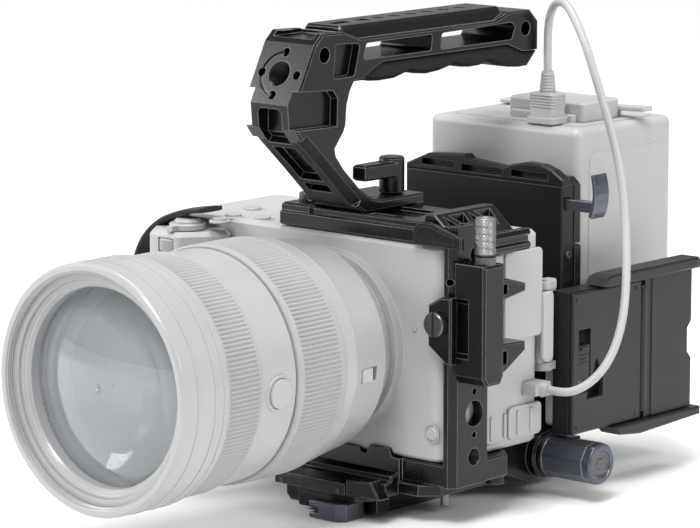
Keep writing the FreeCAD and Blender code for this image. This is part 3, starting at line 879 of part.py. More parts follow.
def power_cable():
    """Straight runs joined by the largest tangent arcs that their runs allow."""
    route = [Vector(*spot) for spot in CABLE_ROUTE]
    radius = value("cord_rad")
    edges, here, radii = [], route[0], []
    for before, corner, after in zip(route, route[1:], route[2:]):
        back, ahead = before - corner, after - corner
        turn = math.pi - back.getAngle(ahead)
        reach = 0.45 * min(back.Length, ahead.Length)
        bend = reach / math.tan(turn / 2)
        radii.append(round(bend, 1))
        start = corner + back.normalize() * reach
        end = corner + ahead.normalize() * reach
        toward = (back + ahead).normalize()
        middle = corner + toward * (bend / math.cos(turn / 2) - bend)
        edges += [Part.LineSegment(here, start).toShape(), Part.Arc(start, middle, end).toShape()]
        here = end
    edges.append(Part.LineSegment(here, route[-1]).toShape())
    path = Part.Wire(edges)
    first = (route[1] - route[0]).normalize()
    section = Part.Wire([Part.Circle(route[0], first, radius).toShape()])
    tube = doc.addObject("Part::Feature", "Cable")
    tube.Shape = path.makePipeShell([section], True, True)
    print("cable length", round(path.Length, 1), "radii", radii, "volume ratio",
          round(tube.Shape.Volume / (math.pi * radius ** 2 * path.Length), 4))
    finish("power_cable", place(tube))


# ---------------------------------------------------------------- hand strap
STRAP_ARC = [(-54.5, 42.6), (-61.0, 41.9), (-68.0, 40.1), (-75.0, 37.3), (-82.0, 32.0),
             (-86.6, 25.6), (-89.0, 17.6), (-89.6, 4.0), (-88.4, -10.0), (-85.0, -24.0),
             (-80.6, -34.0)]


def strap():
    """A band round the grip side: an offset outline, padded along Y."""
    outer, inner = [], []
    thick = value("strap_thick") / 2
    for index, (x, z) in enumerate(STRAP_ARC):
        before = STRAP_ARC[max(index - 1, 0)]
        after = STRAP_ARC[min(index + 1, len(STRAP_ARC) - 1)]
        way = Vector(after[0] - before[0], 0, after[1] - before[1]).normalize()
        outer.append((x + way.z * thick, z - way.x * thick))
        inner.append((x - way.z * thick, z + way.x * thick))
    finish("hand_strap", prism("y", outer + inner[::-1], "strap_y0", "strap_y1"))


def check_and_export():
    doc.recompute()
    for thing in doc.Objects:
        if "Invalid" in thing.State or "Error" in thing.State:
            raise RuntimeError("%s (%s) is %s" % (thing.Name, thing.Label, thing.State))
    os.makedirs("parts", exist_ok=True)
    for node, thing in subparts:
        shape = thing.Shape
        if shape.isNull() or not shape.isValid() or not shape.Solids:
            raise RuntimeError("%s has no valid solid" % node)
        shape.exportStep("parts/%s.step" % node)
        print("%-24s solids %d volume %9.1f" % (node, len(shape.Solids), shape.Volume))
    print(len(subparts), "sub-parts")


fill_sheet()
camera()
screen()
hood()
lens()
cage()
handle()
cable_clamp()
base()
battery_mount()
battery()
strap()
check_and_export()
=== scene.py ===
"""The looks of the camera rig: materials, fine pieces, cable, strap, light and camera."""
import json
import math

import bmesh
import bpy
from mathutils import Matrix, Vector


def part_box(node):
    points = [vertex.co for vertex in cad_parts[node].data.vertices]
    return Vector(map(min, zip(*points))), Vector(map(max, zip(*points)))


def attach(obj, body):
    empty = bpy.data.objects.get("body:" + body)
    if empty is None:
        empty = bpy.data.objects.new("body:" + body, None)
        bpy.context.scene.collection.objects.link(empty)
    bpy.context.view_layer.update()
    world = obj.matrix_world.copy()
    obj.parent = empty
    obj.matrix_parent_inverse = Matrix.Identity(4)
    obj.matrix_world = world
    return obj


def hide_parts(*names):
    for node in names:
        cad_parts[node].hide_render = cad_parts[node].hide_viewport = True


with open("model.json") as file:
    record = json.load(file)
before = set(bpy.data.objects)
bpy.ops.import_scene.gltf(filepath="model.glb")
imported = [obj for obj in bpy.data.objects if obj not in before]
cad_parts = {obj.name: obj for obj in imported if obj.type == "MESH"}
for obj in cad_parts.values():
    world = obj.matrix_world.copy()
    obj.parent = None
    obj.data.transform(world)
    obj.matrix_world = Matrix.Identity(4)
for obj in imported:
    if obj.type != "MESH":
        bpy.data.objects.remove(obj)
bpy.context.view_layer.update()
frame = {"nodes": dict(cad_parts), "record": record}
MM = 0.001

# The datum: the optical axis where it meets the camera's front face.
RING_LOW, RING_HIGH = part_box("focus_ring")
DATUM = Vector((0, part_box("name_plate")[1].y + 0.1 * MM, (RING_LOW.z + RING_HIGH.z) / 2))


def at(x, y, z):
    """A point in the row frame from millimetres at the datum."""
    return DATUM + Vector((x, y, z)) * MM


# ---------------------------------------------------------------- camera
VIEW_AZIMUTH = 41.148
VIEW_ELEVATION = 9.807
VIEW_ROLL = 0.045
VIEW_SPOT = (0.944989, -1.096354, 0.336952)
SENSOR_WIDTH = 36
FOCAL_LENGTH = 206.5
NEAR_CLIP = 0.05
FAR_CLIP = 60


def make_camera():
    """The view: a long lens in front of the rig, on the side of its ports."""
    azimuth = math.radians(VIEW_AZIMUTH)
    elevation = math.radians(VIEW_ELEVATION)
    roll = math.radians(VIEW_ROLL)
    look = Vector((-math.sin(azimuth) * math.cos(elevation),
                   math.cos(azimuth) * math.cos(elevation), -math.sin(elevation)))
    data = bpy.data.cameras.new("view_camera")
    data.sensor_width = SENSOR_WIDTH
    data.lens = FOCAL_LENGTH
    data.clip_start = NEAR_CLIP
    data.clip_end = FAR_CLIP
    camera = bpy.data.objects.new("view_camera", data)
    bpy.context.scene.collection.objects.link(camera)
    turn = look.to_track_quat("-Z", "Y").to_matrix() @ Matrix.Rotation(roll, 3, "Z")
    camera.matrix_world = Matrix.Translation(Vector(VIEW_SPOT)) @ turn.to_4x4()
    bpy.context.scene.camera = camera


# ---------------------------------------------------------------- power cable
CABLE_DIAMETER = 3.1
CABLE_SIDES = 24
CABLE_ROUTE = [
    (16.2, 103.2, 89.6), (15.8, 103.4, 97.6), (16.1, 103.3, 106.8), (18.6, 102.0, 113.0),
    (23.3, 99.7, 116.5), (28.9, 96.9, 116.7), (34.0, 94.4, 113.8), (39.8, 91.6, 108.6),
    (44.6, 89.6, 102.6), (48.6, 89.0, 94.2), (52.4, 89.3, 84.0), (56.8, 90.1, 71.3),
    (61.2, 89.8, 57.2), (66.0, 86.8, 41.6), (71.4, 80.8, 26.4), (75.6, 74.6, 12.8),
    (77.6, 69.2, 2.4), (77.6, 63.2, -7.0), (75.0, 57.2, -14.0), (70.6, 52.2, -17.8),
    (65.8, 49.8, -18.6), (60.6, 49.4, -18.2),
]


def smooth_line(name, spots, fineness):
    """Points close together along a smooth curve drawn by a row of control spots."""
    line = bpy.data.curves.new(name, "CURVE")
    line.dimensions = "3D"
    line.resolution_u = fineness
    spline = line.splines.new("NURBS")
    spline.points.add(len(spots) - 1)
    for point, spot in zip(spline.points, spots):
        point.co = (*spot, 1)
    spline.order_u = 3
    spline.use_endpoint_u = True
    guide = bpy.data.objects.new(name, line)
    mesh = bpy.data.meshes.new_from_object(guide)
    points = [vertex.co.copy() for vertex in mesh.vertices]
    bpy.data.objects.remove(guide)
    bpy.data.meshes.remove(mesh)
    return points


def make_cable():
    """A round tube along the route, its sections kept from twisting."""
    line = smooth_line("cable_line", [at(*spot) for spot in CABLE_ROUTE], 10)
    side = Vector((1, 0, 0))
    vertices = []
    for index, spot in enumerate(line):
        ahead = line[min(index + 1, len(line) - 1)] - line[max(index - 1, 0)]
        ahead.normalize()
        side = (side - ahead * side.dot(ahead)).normalized()
        up = ahead.cross(side)
        for step in range(CABLE_SIDES):
            angle = 2 * math.pi * step / CABLE_SIDES
            out = side * math.cos(angle) + up * math.sin(angle)
            vertices.append(spot + out * CABLE_DIAMETER / 2 * MM)
    faces = swept_faces(len(line), CABLE_SIDES)
    cable = link_mesh("power_cord", vertices, faces, "cable_jacket", "rig")
    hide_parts("power_cable")


# ---------------------------------------------------------------- materials
CLOUD_SCALE = 40.0
MIX_INPUTS = (0, 6, 7)
MIX_RESULT = 2


class Shader:
    """A Principled material and short ways of adding nodes to it."""

    def __init__(self, name, colour, rough, metal=0.0, **sockets):
        self.material = bpy.data.materials.new(name)
        self.material.use_nodes = True
        self.nodes = self.material.node_tree.nodes
        self.links = self.material.node_tree.links
        self.main = self.nodes["Principled BSDF"]
        self.colour = colour
        self.rough = rough
        self.set(self.main, "Base Color", (*colour, 1))
        self.set(self.main, "Roughness", rough)
        self.set(self.main, "Metallic", metal)
        for socket, number in sockets.items():
            self.set(self.main, socket.replace("_", " "), number)
        self.place = self.add("TexCoord").outputs["Object"]

    def set(self, node, socket, number):
        node.inputs[socket].default_value = number

    def add(self, kind, **properties):
        node = self.nodes.new("ShaderNode" + kind)
        for key, setting in properties.items():
            setattr(node, key, setting)
        return node

    def feed(self, node, **sockets):
        for socket, source in sockets.items():
            target = node.inputs[socket.replace("_", " ")]
            if isinstance(source, bpy.types.NodeSocket):
                self.links.new(source, target)
            else:
                target.default_value = source
        return node

    def noise(self, scale, detail, stretch=None):
        place = self.place
        if stretch:
            mapping = self.add("Mapping")
            self.feed(mapping, Vector=place, Scale=stretch)
            place = mapping.outputs["Vector"]
        node = self.add("TexNoise")
        self.feed(node, Vector=place, Scale=scale, Detail=detail)
        return node.outputs["Fac"]

    def spread(self, source, low, high, start=0.3, end=0.7):
        """Source from start to end becomes low to high."""
        node = self.add("MapRange")
        self.feed(node, Value=source)
        for socket, number in (("From Min", start), ("From Max", end),
                               ("To Min", low), ("To Max", high)):
            self.set(node, socket, number)
        return node.outputs["Result"]

    def mix(self, amount, first, second):
        node = self.add("Mix", data_type="RGBA")
        for socket, source in zip(MIX_INPUTS, (amount, first, second)):
            if isinstance(source, bpy.types.NodeSocket):
                self.links.new(source, node.inputs[socket])
            else:
                node.inputs[socket].default_value = source
        return node.outputs[MIX_RESULT]

    def tint(self, factor):
        return (*[min(1.0, part * factor) for part in self.colour], 1)

    def bump(self, height, distance, normal=None):
        node = self.add("Bump")
        self.feed(node, Height=height, Distance=distance, Strength=1.0)
        if normal:
            self.feed(node, Normal=normal)
        return node.outputs["Normal"]

    def rounded_edges(self, radius):
        """The normal of gently broken edges, and how much a spot is on one."""
        bevel = self.add("Bevel", samples=6)
        self.feed(bevel, Radius=radius)
        flat = self.add("NewGeometry").outputs["Normal"]
        dot = self.add("VectorMath", operation="DOT_PRODUCT")
        self.links.new(bevel.outputs["Normal"], dot.inputs[0])
        self.links.new(flat, dot.inputs[1])
        return bevel.outputs["Normal"], self.spread(dot.outputs["Value"], 1, 0, 0.86, 0.998)

    def finish(self, colour=None, rough=None, normal=None):
        for socket, source in (("Base Color", colour), ("Roughness", rough), ("Normal", normal)):
            if source:
                self.links.new(source, self.main.inputs[socket])
        return self.material


def grained(name, colour, rough, *, depth, edge, metal=0.0, grain=2600.0, edge_highlight_gain=1.8,
            sway=0.12, **sockets):
    """Cast, blasted or moulded: cloudy colour, fine grain, soft edges brightened by painted
    highlight and wear.
    """
    shader = Shader(name, colour, rough, metal, **sockets)
    clouds = shader.noise(CLOUD_SCALE, 4)
    body = shader.mix(shader.spread(clouds, 0, 1), shader.tint(1 - sway), shader.tint(1 + sway))
    soft, on_edge = shader.rounded_edges(edge * MM)
    # Painted highlight, partly standing for wear: the edge mask, patched with noise, brightens the
    # colour on the broken edges.
    edge_highlight_and_wear = shader.add("Math", operation="MULTIPLY")
    shader.links.new(on_edge, edge_highlight_and_wear.inputs[0])
    shader.links.new(shader.spread(shader.noise(500.0, 2), 0.6, 1.0), edge_highlight_and_wear.inputs[1])
    highlighted_and_worn_colour = shader.mix(edge_highlight_and_wear.outputs[0], body, shader.tint(edge_highlight_gain))
    fine = shader.noise(grain, 2)
    sheen = shader.spread(fine, rough - 0.05, rough + 0.07)
    return shader.finish(highlighted_and_worn_colour, sheen, shader.bump(fine, depth * MM, soft))


def brushed(name, colour, rough, stretch):
    """Turned or brushed metal: long fine scratches and a painted highlight on the edges."""
    shader = Shader(name, colour, rough, 1.0)
    lines = shader.noise(900.0, 3, stretch)
    body = shader.mix(shader.spread(lines, 0, 1), shader.tint(0.8), shader.tint(1.15))
    soft, on_edge = shader.rounded_edges(0.25 * MM)
    # Painted highlight: the broken edges are brightened one and a half times.
    brushed_with_edge_highlight = shader.mix(on_edge, body, shader.tint(1.5))
    return shader.finish(brushed_with_edge_highlight, shader.spread(lines, rough - 0.08, rough + 0.1),
                         shader.bump(lines, 0.01 * MM, soft))


def webbing(name, colour):
    """Woven nylon: ribs across the band and threads along it."""
    shader = Shader(name, colour, 0.82, Sheen_Weight=0.15, Sheen_Roughness=0.4)
    ribs = shader.add("TexWave", bands_direction="Y")
    shader.feed(ribs, Vector=shader.place, Scale=420.0, Distortion=1.2)
    threads = shader.add("TexWave", bands_direction="DIAGONAL")
    shader.feed(threads, Vector=shader.place, Scale=300.0, Distortion=2.0)
    weave = shader.add("Math", operation="MULTIPLY")
    shader.links.new(ribs.outputs["Fac"], weave.inputs[0])
    shader.links.new(threads.outputs["Fac"], weave.inputs[1])
    colour_out = shader.mix(weave.outputs[0], shader.tint(0.7), shader.tint(1.25))
    return shader.finish(colour_out, None, shader.bump(weave.outputs[0], 0.12 * MM))


def glass(name, violet, green):
    """Coated lens glass: a faint bloom that goes from violet to green over the surface."""
    shader = Shader(name, violet, 0.03, Transmission_Weight=0.78, IOR=1.5,
                    Coat_Weight=0.6, Coat_Roughness=0.02)
    bloom = shader.noise(12.0, 1)
    return shader.finish(shader.mix(shader.spread(bloom, 0, 1), (*violet, 1), (*green, 1)))


def make_materials():
    """A material for each slot, and a darker copy of rig_black as painted shade inside the black
    bores.
    """
    # The edge gains below set how bright the painted edge highlight is on each material.
    return {
        "rig_black": grained("rig_black_anodised", (0.0032, 0.0033, 0.0037), 0.22, edge=0.55,
                             edge_highlight_gain=75.0, depth=0.005, Specular_IOR_Level=0.3),
        # Painted shade: rig_black a little darker and rougher, with far less edge highlight, for
        # the inside of the bores.
        "shaded_bore_threads": grained("shaded_bore_threads", (0.003, 0.003, 0.0032), 0.3, edge=0.1,
                                 edge_highlight_gain=6.0, depth=0.002, Specular_IOR_Level=0.3),
        "label_black": grained("label_black_anodised", (0.005, 0.0052, 0.0058), 0.24, edge=0.35,
                               edge_highlight_gain=34.0, depth=0.005, Specular_IOR_Level=0.32),
        "grip_rubber": grained("handle_rubber", (0.006, 0.006, 0.0065), 0.55, grain=1500,
                               depth=0.05, edge=0.6, edge_highlight_gain=2.0, Specular_IOR_Level=0.2),
        "mount_black": grained("mount_moulding", (0.0055, 0.0056, 0.0062), 0.34, grain=1700,
                               depth=0.02, edge=0.35, edge_highlight_gain=24.0,
                               Specular_IOR_Level=0.28),
        "hood_black": grained("hood_moulding", (0.0115, 0.0118, 0.013), 0.4, grain=1500,
                              depth=0.025, edge=0.35, edge_highlight_gain=3.2,
                              Specular_IOR_Level=0.36),
        "accent_blue": grained("blue_grey_anodised", (0.088, 0.1, 0.122), 0.3, metal=0.7,
                               depth=0.006, edge=0.4, edge_highlight_gain=3.4),
        "silver_steel": brushed("silver_steel", (0.3, 0.3, 0.295), 0.42, (1, 1, 14)),
        "dark_steel": brushed("dark_steel", (0.12, 0.12, 0.125), 0.34, (3, 3, 3)),
        "camera_shell": grained("camera_shell", (0.375, 0.375, 0.377), 0.5, grain=1900, depth=0.02,
                                edge=0.6, edge_highlight_gain=1.25, sway=0.03),
        "camera_keys": grained("camera_keys", (0.36, 0.36, 0.362), 0.36, grain=2400, depth=0.01,
                               edge=0.4, edge_highlight_gain=1.3, sway=0.03),
        "mount_metal": brushed("mount_metal", (0.66, 0.66, 0.665), 0.3, (1, 12, 1)),
        "sensor": grained("sensor_cover", (0.02, 0.016, 0.03), 0.08, depth=0.0, edge=0.1,
                          Coat_Weight=1.0),
        "lens_shell": grained("lens_shell", (0.37, 0.37, 0.372), 0.34, grain=2600, depth=0.008,
                              edge=0.5, edge_highlight_gain=1.3, sway=0.03, Coat_Weight=0.25),
        "lens_rubber": grained("lens_rubber", (0.34, 0.34, 0.342), 0.5, grain=2000, depth=0.02,
                               edge=0.3, edge_highlight_gain=1.15, sway=0.03),
        "lens_glass": glass("lens_glass", (0.66, 0.67, 0.74), (0.66, 0.74, 0.71)),
        "battery_shell": grained("battery_shell", (0.375, 0.375, 0.377), 0.42, grain=1700,
                                 depth=0.02, edge=0.7, edge_highlight_gain=1.2, sway=0.03),
        "plug_shell": grained("plug_shell", (0.36, 0.36, 0.362), 0.45, grain=1900, depth=0.015,
                              edge=0.4, edge_highlight_gain=1.2, sway=0.03),
        "cable_jacket": grained("cable_jacket", (0.38, 0.38, 0.382), 0.42, grain=1700,
                                depth=0.012, edge=0.1, edge_highlight_gain=1.1, sway=0.03),
        "strap_webbing": webbing("strap_webbing", (0.008, 0.008, 0.0085)),
    }


# ---------------------------------------------------------------- mesh helpers
SHARP_ANGLE = math.radians(38)
BEVEL_ANGLE = math.radians(30)
BEVEL_STEPS = 3
CORNER_STEPS = 4
DISC_STEPS = 64
SCREW_STEPS = 48
THREAD_STEPS = 56


def link_mesh(name, vertices, faces, slot, body, look=None):
    """A smooth-shaded mesh on a body; look names a material other than its slot's."""
    mesh = bpy.data.meshes.new(name)
    mesh.from_pydata([tuple(spot) for spot in vertices], [], faces)
    clean = bmesh.new()
    clean.from_mesh(mesh)
    bmesh.ops.recalc_face_normals(clean, faces=clean.faces)
    clean.to_mesh(mesh)
    clean.free()
    piece = bpy.data.objects.new(name, mesh)
    bpy.context.scene.collection.objects.link(piece)
    mesh.materials.append(MATERIALS[look or slot])
    for face in mesh.polygons:
        face.use_smooth = True
    mesh.set_sharp_from_angle(angle=SHARP_ANGLE)
    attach(piece, body)
    return piece


def swept_faces(rows, sides):
    """The faces of a tube made of rows of points, with a face at each end."""
    faces = []
    for row in range(rows - 1):
        for step in range(sides):
            after = (step + 1) % sides
            faces.append((row * sides + step, row * sides + after,
                          (row + 1) * sides + after, (row + 1) * sides + step))
    faces += [tuple(range(sides)), tuple(range((rows - 1) * sides, rows * sides))]
    return faces


def frame_of(axis):
    """An axis as a unit vector, and two directions across it."""
    axis = Vector(axis).normalized()
    across = axis.cross(Vector((0, 0, 1)) if abs(axis.z) < 0.9 else Vector((1, 0, 0)))
    across.normalize()
    return axis, across, axis.cross(across)


def lathe(name, centre, axis, profile, slot, body, steps=96, wave=None, look=None):
    """A closed outline of (along, radius) in mm turned about an axis; wave adds to the radius.

    A point of radius 0 is one vertex on the axis."""
    axis, across, up = frame_of(axis)
    base = at(*centre)
    vertices, faces, rings = [], [], []
    for index, (along, radius) in enumerate(profile):
        spot = base + axis * along * MM
        if radius == 0:
            rings.append([len(vertices)] * steps)
            vertices.append(spot)
            continue
        rings.append(list(range(len(vertices), len(vertices) + steps)))
        for step in range(steps):
            angle = 2 * math.pi * step / steps
            way = across * math.cos(angle) + up * math.sin(angle)
            grown = radius + (wave(angle, index) if wave else 0)
            vertices.append(spot + way * grown * MM)
    for index, ring in enumerate(rings):
        after = rings[(index + 1) % len(rings)]
        for step in range(steps):
            there = (step + 1) % steps
            corners = dict.fromkeys((ring[step], ring[there], after[there], after[step]))
            if len(corners) > 2:
                faces.append(tuple(corners))
    return link_mesh(name, vertices, faces, slot, body, look)


def slab(name, plane, outline, low, high, slot, body, bevel):
    """A flat piece: an outline of two coordinates, from low to high along plane's axis."""
    order = {"x": lambda a, b, c: (c, a, b), "y": lambda a, b, c: (a, c, b),
             "z": lambda a, b, c: (a, b, c)}[plane]
    count = len(outline)
    vertices = [at(*order(*spot, low)) for spot in outline]
    vertices += [at(*order(*spot, high)) for spot in outline]
    faces = [tuple(range(count)), tuple(range(count, 2 * count))]
    for index in range(count):
        after = (index + 1) % count
        faces.append((index, after, after + count, index + count))
    piece = link_mesh(name, vertices, faces, slot, body)
    rounding = piece.modifiers.new("rounding", "BEVEL")
    rounding.width = bevel * MM
    rounding.segments = BEVEL_STEPS
    rounding.limit_method = "ANGLE"
    rounding.angle_limit = BEVEL_ANGLE
    rounding.harden_normals = True
    return piece


def rounded(low, high, corner):
    """A rectangle with round corners, as points."""
    points = []
    for cx, cy, start in ((high[0], high[1], 0), (low[0], high[1], 90), (low[0], low[1], 180),
                          (high[0], low[1], 270)):
        mx = cx - corner if start in (0, 270) else cx + corner
        my = cy - corner if start in (0, 90) else cy + corner
        for step in range(CORNER_STEPS + 1):
            angle = math.radians(start + 90 * step / CORNER_STEPS)
            points.append((mx + corner * math.cos(angle), my + corner * math.sin(angle)))
    return points


def disc(name, centre, axis, radius, tall, slot, body, dish=0.0):
    """A low round button with a soft edge and a slightly dished top."""
    soft = min(0.5, tall / 3, radius / 4)
    profile = [(-0.3, 0), (-0.3, radius), (tall - soft, radius),
               (tall - soft * 0.3, radius - soft * 0.3), (tall, radius - soft),
               (tall - dish * 0.5, radius * 0.5), (tall - dish, 0)]
    return lathe(name, centre, axis, profile, slot, body, DISC_STEPS)


def socket_screw(name, centre, axis, radius, body, tall):
    """A small cap screw with a six-sided socket."""
    hexagon = radius * 0.52

    def six_sided(angle, index):
        if index not in (4, 5):
            return 0
        turn = (angle % (math.pi / 3)) - math.pi / 6
        return hexagon * (math.cos(math.pi / 6) / math.cos(turn) - 1)
    profile = [(0, radius), (tall - 0.3, radius), (tall, radius - 0.3), (tall, radius * 0.66),
               (tall, hexagon), (tall * 0.35, hexagon), (tall * 0.3, 0), (0, 0)]
    return lathe(name, centre, axis, profile, "dark_steel", body, SCREW_STEPS, six_sided)


def thread_rings(name, centre, axis, radius, length, pitch, body, slot="rig_black"):
    """A threaded bore's inner face: a sleeve of even ridges."""
    turns = max(3, int(length / pitch))
    profile = [(0, radius - 0.02)]
    for turn in range(turns):
        start = turn * length / turns
        profile.append((start + 0.1 * pitch, radius - 0.08))
        profile.append((start + 0.5 * pitch, radius - 0.5))
        profile.append((start + 0.6 * pitch, radius - 0.5))
    profile += [(length, radius - 0.08), (length, radius - 0.02)]
    # Black bores take the darker copy of rig_black, a painted shade for their inside.
    look = "shaded_bore_threads" if slot == "rig_black" else None
    return lathe(name, centre, axis, profile, slot, body, THREAD_STEPS, look=look)


# ---------------------------------------------------------------- lens
RING_OUTER = 42.8
RING_INNER = 38.6
RING_RIBS = 168
RIB_DEPTH = 0.55
HOLD_KEY_TILT = math.radians(4)


def lens_part(name, profile, steps, slot="lens_shell", body="lens_front"):
    """A piece turned about the lens's axis."""
    lathe(name, (0, 0, 0), (0, 1, 0), profile, slot, body, steps)


def ribbed_ring(name, node, low, high, body, spare):
    """A rubber ring with fine ribs between two plain borders."""
    outer, inner = RING_OUTER, RING_INNER
    profile = [(low, inner), (low, outer - 0.7), (low + 0.5, outer - 0.1), (low + spare, outer),
               (low + spare + 0.6, outer), (high - spare - 0.6, outer), (high - spare, outer),
               (high - 0.5, outer - 0.1), (high, outer - 0.7), (high, inner)]

    def rib(angle, index):
        if index not in (4, 5):
            return 0
        return -RIB_DEPTH if int(angle * RING_RIBS * 2 / (2 * math.pi) + 0.25) % 2 else 0
    piece = lathe(name, (0, 0, 0), (0, 1, 0), profile, "lens_rubber", body, RING_RIBS * 4, rib)
    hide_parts(node)


def dress_lens():
    """The ribbed rings, the front's trim and thread, the inside of the barrel and its lines."""
    ribbed_ring("zoom_ring_ribbed", "zoom_ring", -65.8, -41.4, "zoom", 2.6)
    ribbed_ring("focus_ring_ribbed", "focus_ring", -102.2, -84.2, "focus", 1.6)
    lens_part("front_trim_ring",
              [(-124.95, 41.1), (-125.2, 41.4), (-125.2, 43.0), (-124.6, 43.75),
               (-124.0, 43.95), (-123.6, 43.95), (-123.6, 41.1)], 160)
    for index, (along, out) in enumerate(((-118.0, 44.08), (-109.5, 44.08), (-105.2, 44.05))):
        lens_part("barrel_line_%d" % index,
                  [(along, 43.8), (along, out), (along + 0.5, out + 0.06), (along + 1.0, out),
                   (along + 1.0, 43.8)], 160)
    thread_rings("filter_thread_ridges", (0, -124.6, 0), (0, 1, 0), 41.05, 2.6, 0.75,
                 "lens_front", "lens_shell")
    lens_part("front_retaining_ring",
              [(-118.3, 38.1), (-120.6, 38.1), (-120.6, 37.0), (-119.8, 36.6), (-119.8, 36.0),
               (-118.9, 35.5), (-118.3, 34.9)], 144)
    for index, (along, radius, wide) in enumerate(((-104.0, 31.5, 3.4), (-98.0, 27.0, 3.6),
                                                   (-91.0, 22.4, 3.6), (-84.0, 17.6, 3.8))):
        lens_part("inner_baffle_%d" % index,
                  [(along, radius + wide), (along, radius + 0.8), (along + 0.6, radius),
                   (along + 2.4, radius), (along + 6.6, radius + 0.4 - wide * 0.2),
                   (along + 6.8, radius + wide)], 112)
    lens_part("inner_element",
              [(-97.0, 26.6), (-99.0, 20.0), (-100.6, 12.0), (-101.2, 5.0), (-101.3, 0),
               (-93.0, 0), (-93.4, 12.0), (-94.6, 22.0), (-95.4, 26.6)], 112, "lens_glass")
    lens_part("deep_element",
              [(-83.5, 17.2), (-85.4, 12.0), (-86.4, 5.0), (-86.6, 0), (-80.0, 0),
               (-80.4, 10.0), (-81.6, 17.2)], 96, "lens_glass")
    for index, (along, radius) in enumerate(((-39.6, 41.22), (-34.6, 41.22), (-20.5, 39.0))):
        lens_part("rear_barrel_line_%d" % index,
                  [(along, radius - 0.3), (along, radius), (along + 0.35, radius + 0.06),
                   (along + 0.7, radius), (along + 0.7, radius - 0.3)], 144, body="rig")
    key_way = (math.cos(HOLD_KEY_TILT), 0, -math.sin(HOLD_KEY_TILT))
    spot = (41.3 * key_way[0], -75.0, -41.3 * math.sin(HOLD_KEY_TILT))
    lathe("hold_key_rim", spot, key_way,
          [(0, 5.25), (0, 6.6), (0.5, 6.5), (0.7, 6.1), (0.7, 5.5), (0.4, 5.25)],
          "lens_shell", "rig", 72)


# ---------------------------------------------------------------- camera body
def dress_camera():
    """The dial's teeth, the top keys, the port doors and ribs, and small rims at the front."""
    serrated = [(27.6, 1.3), (27.6, 4.6), (28.0, 5.2), (32.0, 5.2), (32.4, 4.6), (32.4, 1.3)]
    piece = lathe("front_dial_knurled", (-63.5, -17, 0), (0, 0, 1), serrated, "camera_keys", "dial",
                  112, lambda angle, index: -0.35 * (int(angle * 56 / math.pi + 0.25) % 2)
                  if index in (2, 3) else 0)
    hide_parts("front_dial")
    for index, (x, y, radius) in enumerate(((-53.0, 4.0, 3.1), (-40.0, 6.0, 3.1),
                                            (-50.0, -6.5, 2.7), (-58.0, 20.0, 3.4))):
        disc("top_key_%d" % index, (x, y, 38.9), (0, 0, 1), radius, 1.1, "camera_keys", "rig", 0.2)
        disc("top_key_seat_%d" % index, (x, y, 38.6), (0, 0, 1), radius + 1.3, 0.5,
             "camera_shell", "rig")
    doors = (("port_door_upper", 33.5, 55.0, 0.5, 33.0),
             ("port_door_lower", 36.0, 55.0, -36.0, -24.0),
             ("port_door_middle", 23.5, 32.5, -36.0, 33.0))
    for name, y0, y1, z0, z1 in doors:
        slab(name, "x", rounded((y0, z0), (y1, z1), 2.0), 51.5, 52.9, "camera_shell", "rig", 0.5)
    for index in range(4):
        y = 25.0 + 7.6 * index
        slab("port_rib_%d" % index, "x", rounded((y, -34.5), (y + 1.6, -25.5), 0.7), 52.6, 53.5,
             "camera_shell", "rig", 0.3)
    slab("port_flap_open", "x", rounded((54.6, -10.0), (60.5, 16.0), 2.0), 51.9, 54.0,
         "camera_shell", "rig", 0.7)
    lathe("mount_index_dot", (38.6, -0.2, 8.4), (0, -1, 0),
          [(0, 0), (0, 0.9), (0.3, 0.8), (0.4, 0.4), (0.4, 0)], "camera_keys", "rig", 32)
    lathe("front_button_rim", (46.8, -0.05, -28.4), (0, -1, 0),
          [(0, 2.75), (0, 3.5), (0.35, 3.35), (0.4, 2.9), (0.2, 2.75)], "camera_shell", "rig", 56)


# ---------------------------------------------------------------- rig details
KNURL_RADIUS = 3.85
KNURL_ROWS = 5
KNURL_RIDGES = 22
KNURL_DEPTH = 0.5
KNOB_SPOT = (0, 68.0, -47.4)
KNOB_AXIS = (1, 0, 0)
KNOB_RADIUS = 7.8
KNOB_FLAT = 7.28
KNOB_SIDES = 8
FACE_TILT = math.radians(27)
FACE_SINK = 0.4
LARGE_THREAD = 4.76
SMALL_THREAD = 3.175


def knurled_thumbscrew():
    """Five bands of coarse diamond knurl on a turned head, with its lead screw."""
    bands = [(38.2 + 2.5 * band, 40.2 + 2.5 * band) for band in range(5)]
    profile = [(28.9, 0), (28.9, 2.0), (37.4, 2.0), (37.4, 3.0), (37.9, 3.3)]
    raised = []
    for low, high in bands:
        for row in range(KNURL_ROWS):
            raised.append(len(profile))
            profile.append((low + (high - low) * row / (KNURL_ROWS - 1), KNURL_RADIUS))
        profile.append((high + 0.12, 3.3))
        profile.append((high + 0.38, 3.3))
    profile += [(50.7, 3.5), (51.0, 3.2), (51.0, 1.6), (50.5, 1.4), (50.5, 0)]

    def diamond(angle, index):
        if index not in raised:
            return 0
        row = raised.index(index) % KNURL_ROWS
        phase = (angle * KNURL_RIDGES / (2 * math.pi) + 0.5 * (row % 2)) % 1
        return -KNURL_DEPTH * abs(2 * phase - 1)
    piece = lathe("thumbscrew_knurled", (66.2, 5.4, 0), (0, 0, 1), profile, "silver_steel",
                  "clip_screw", KNURL_RIDGES * 4, diamond)
    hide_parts("clamp_thumbscrew")


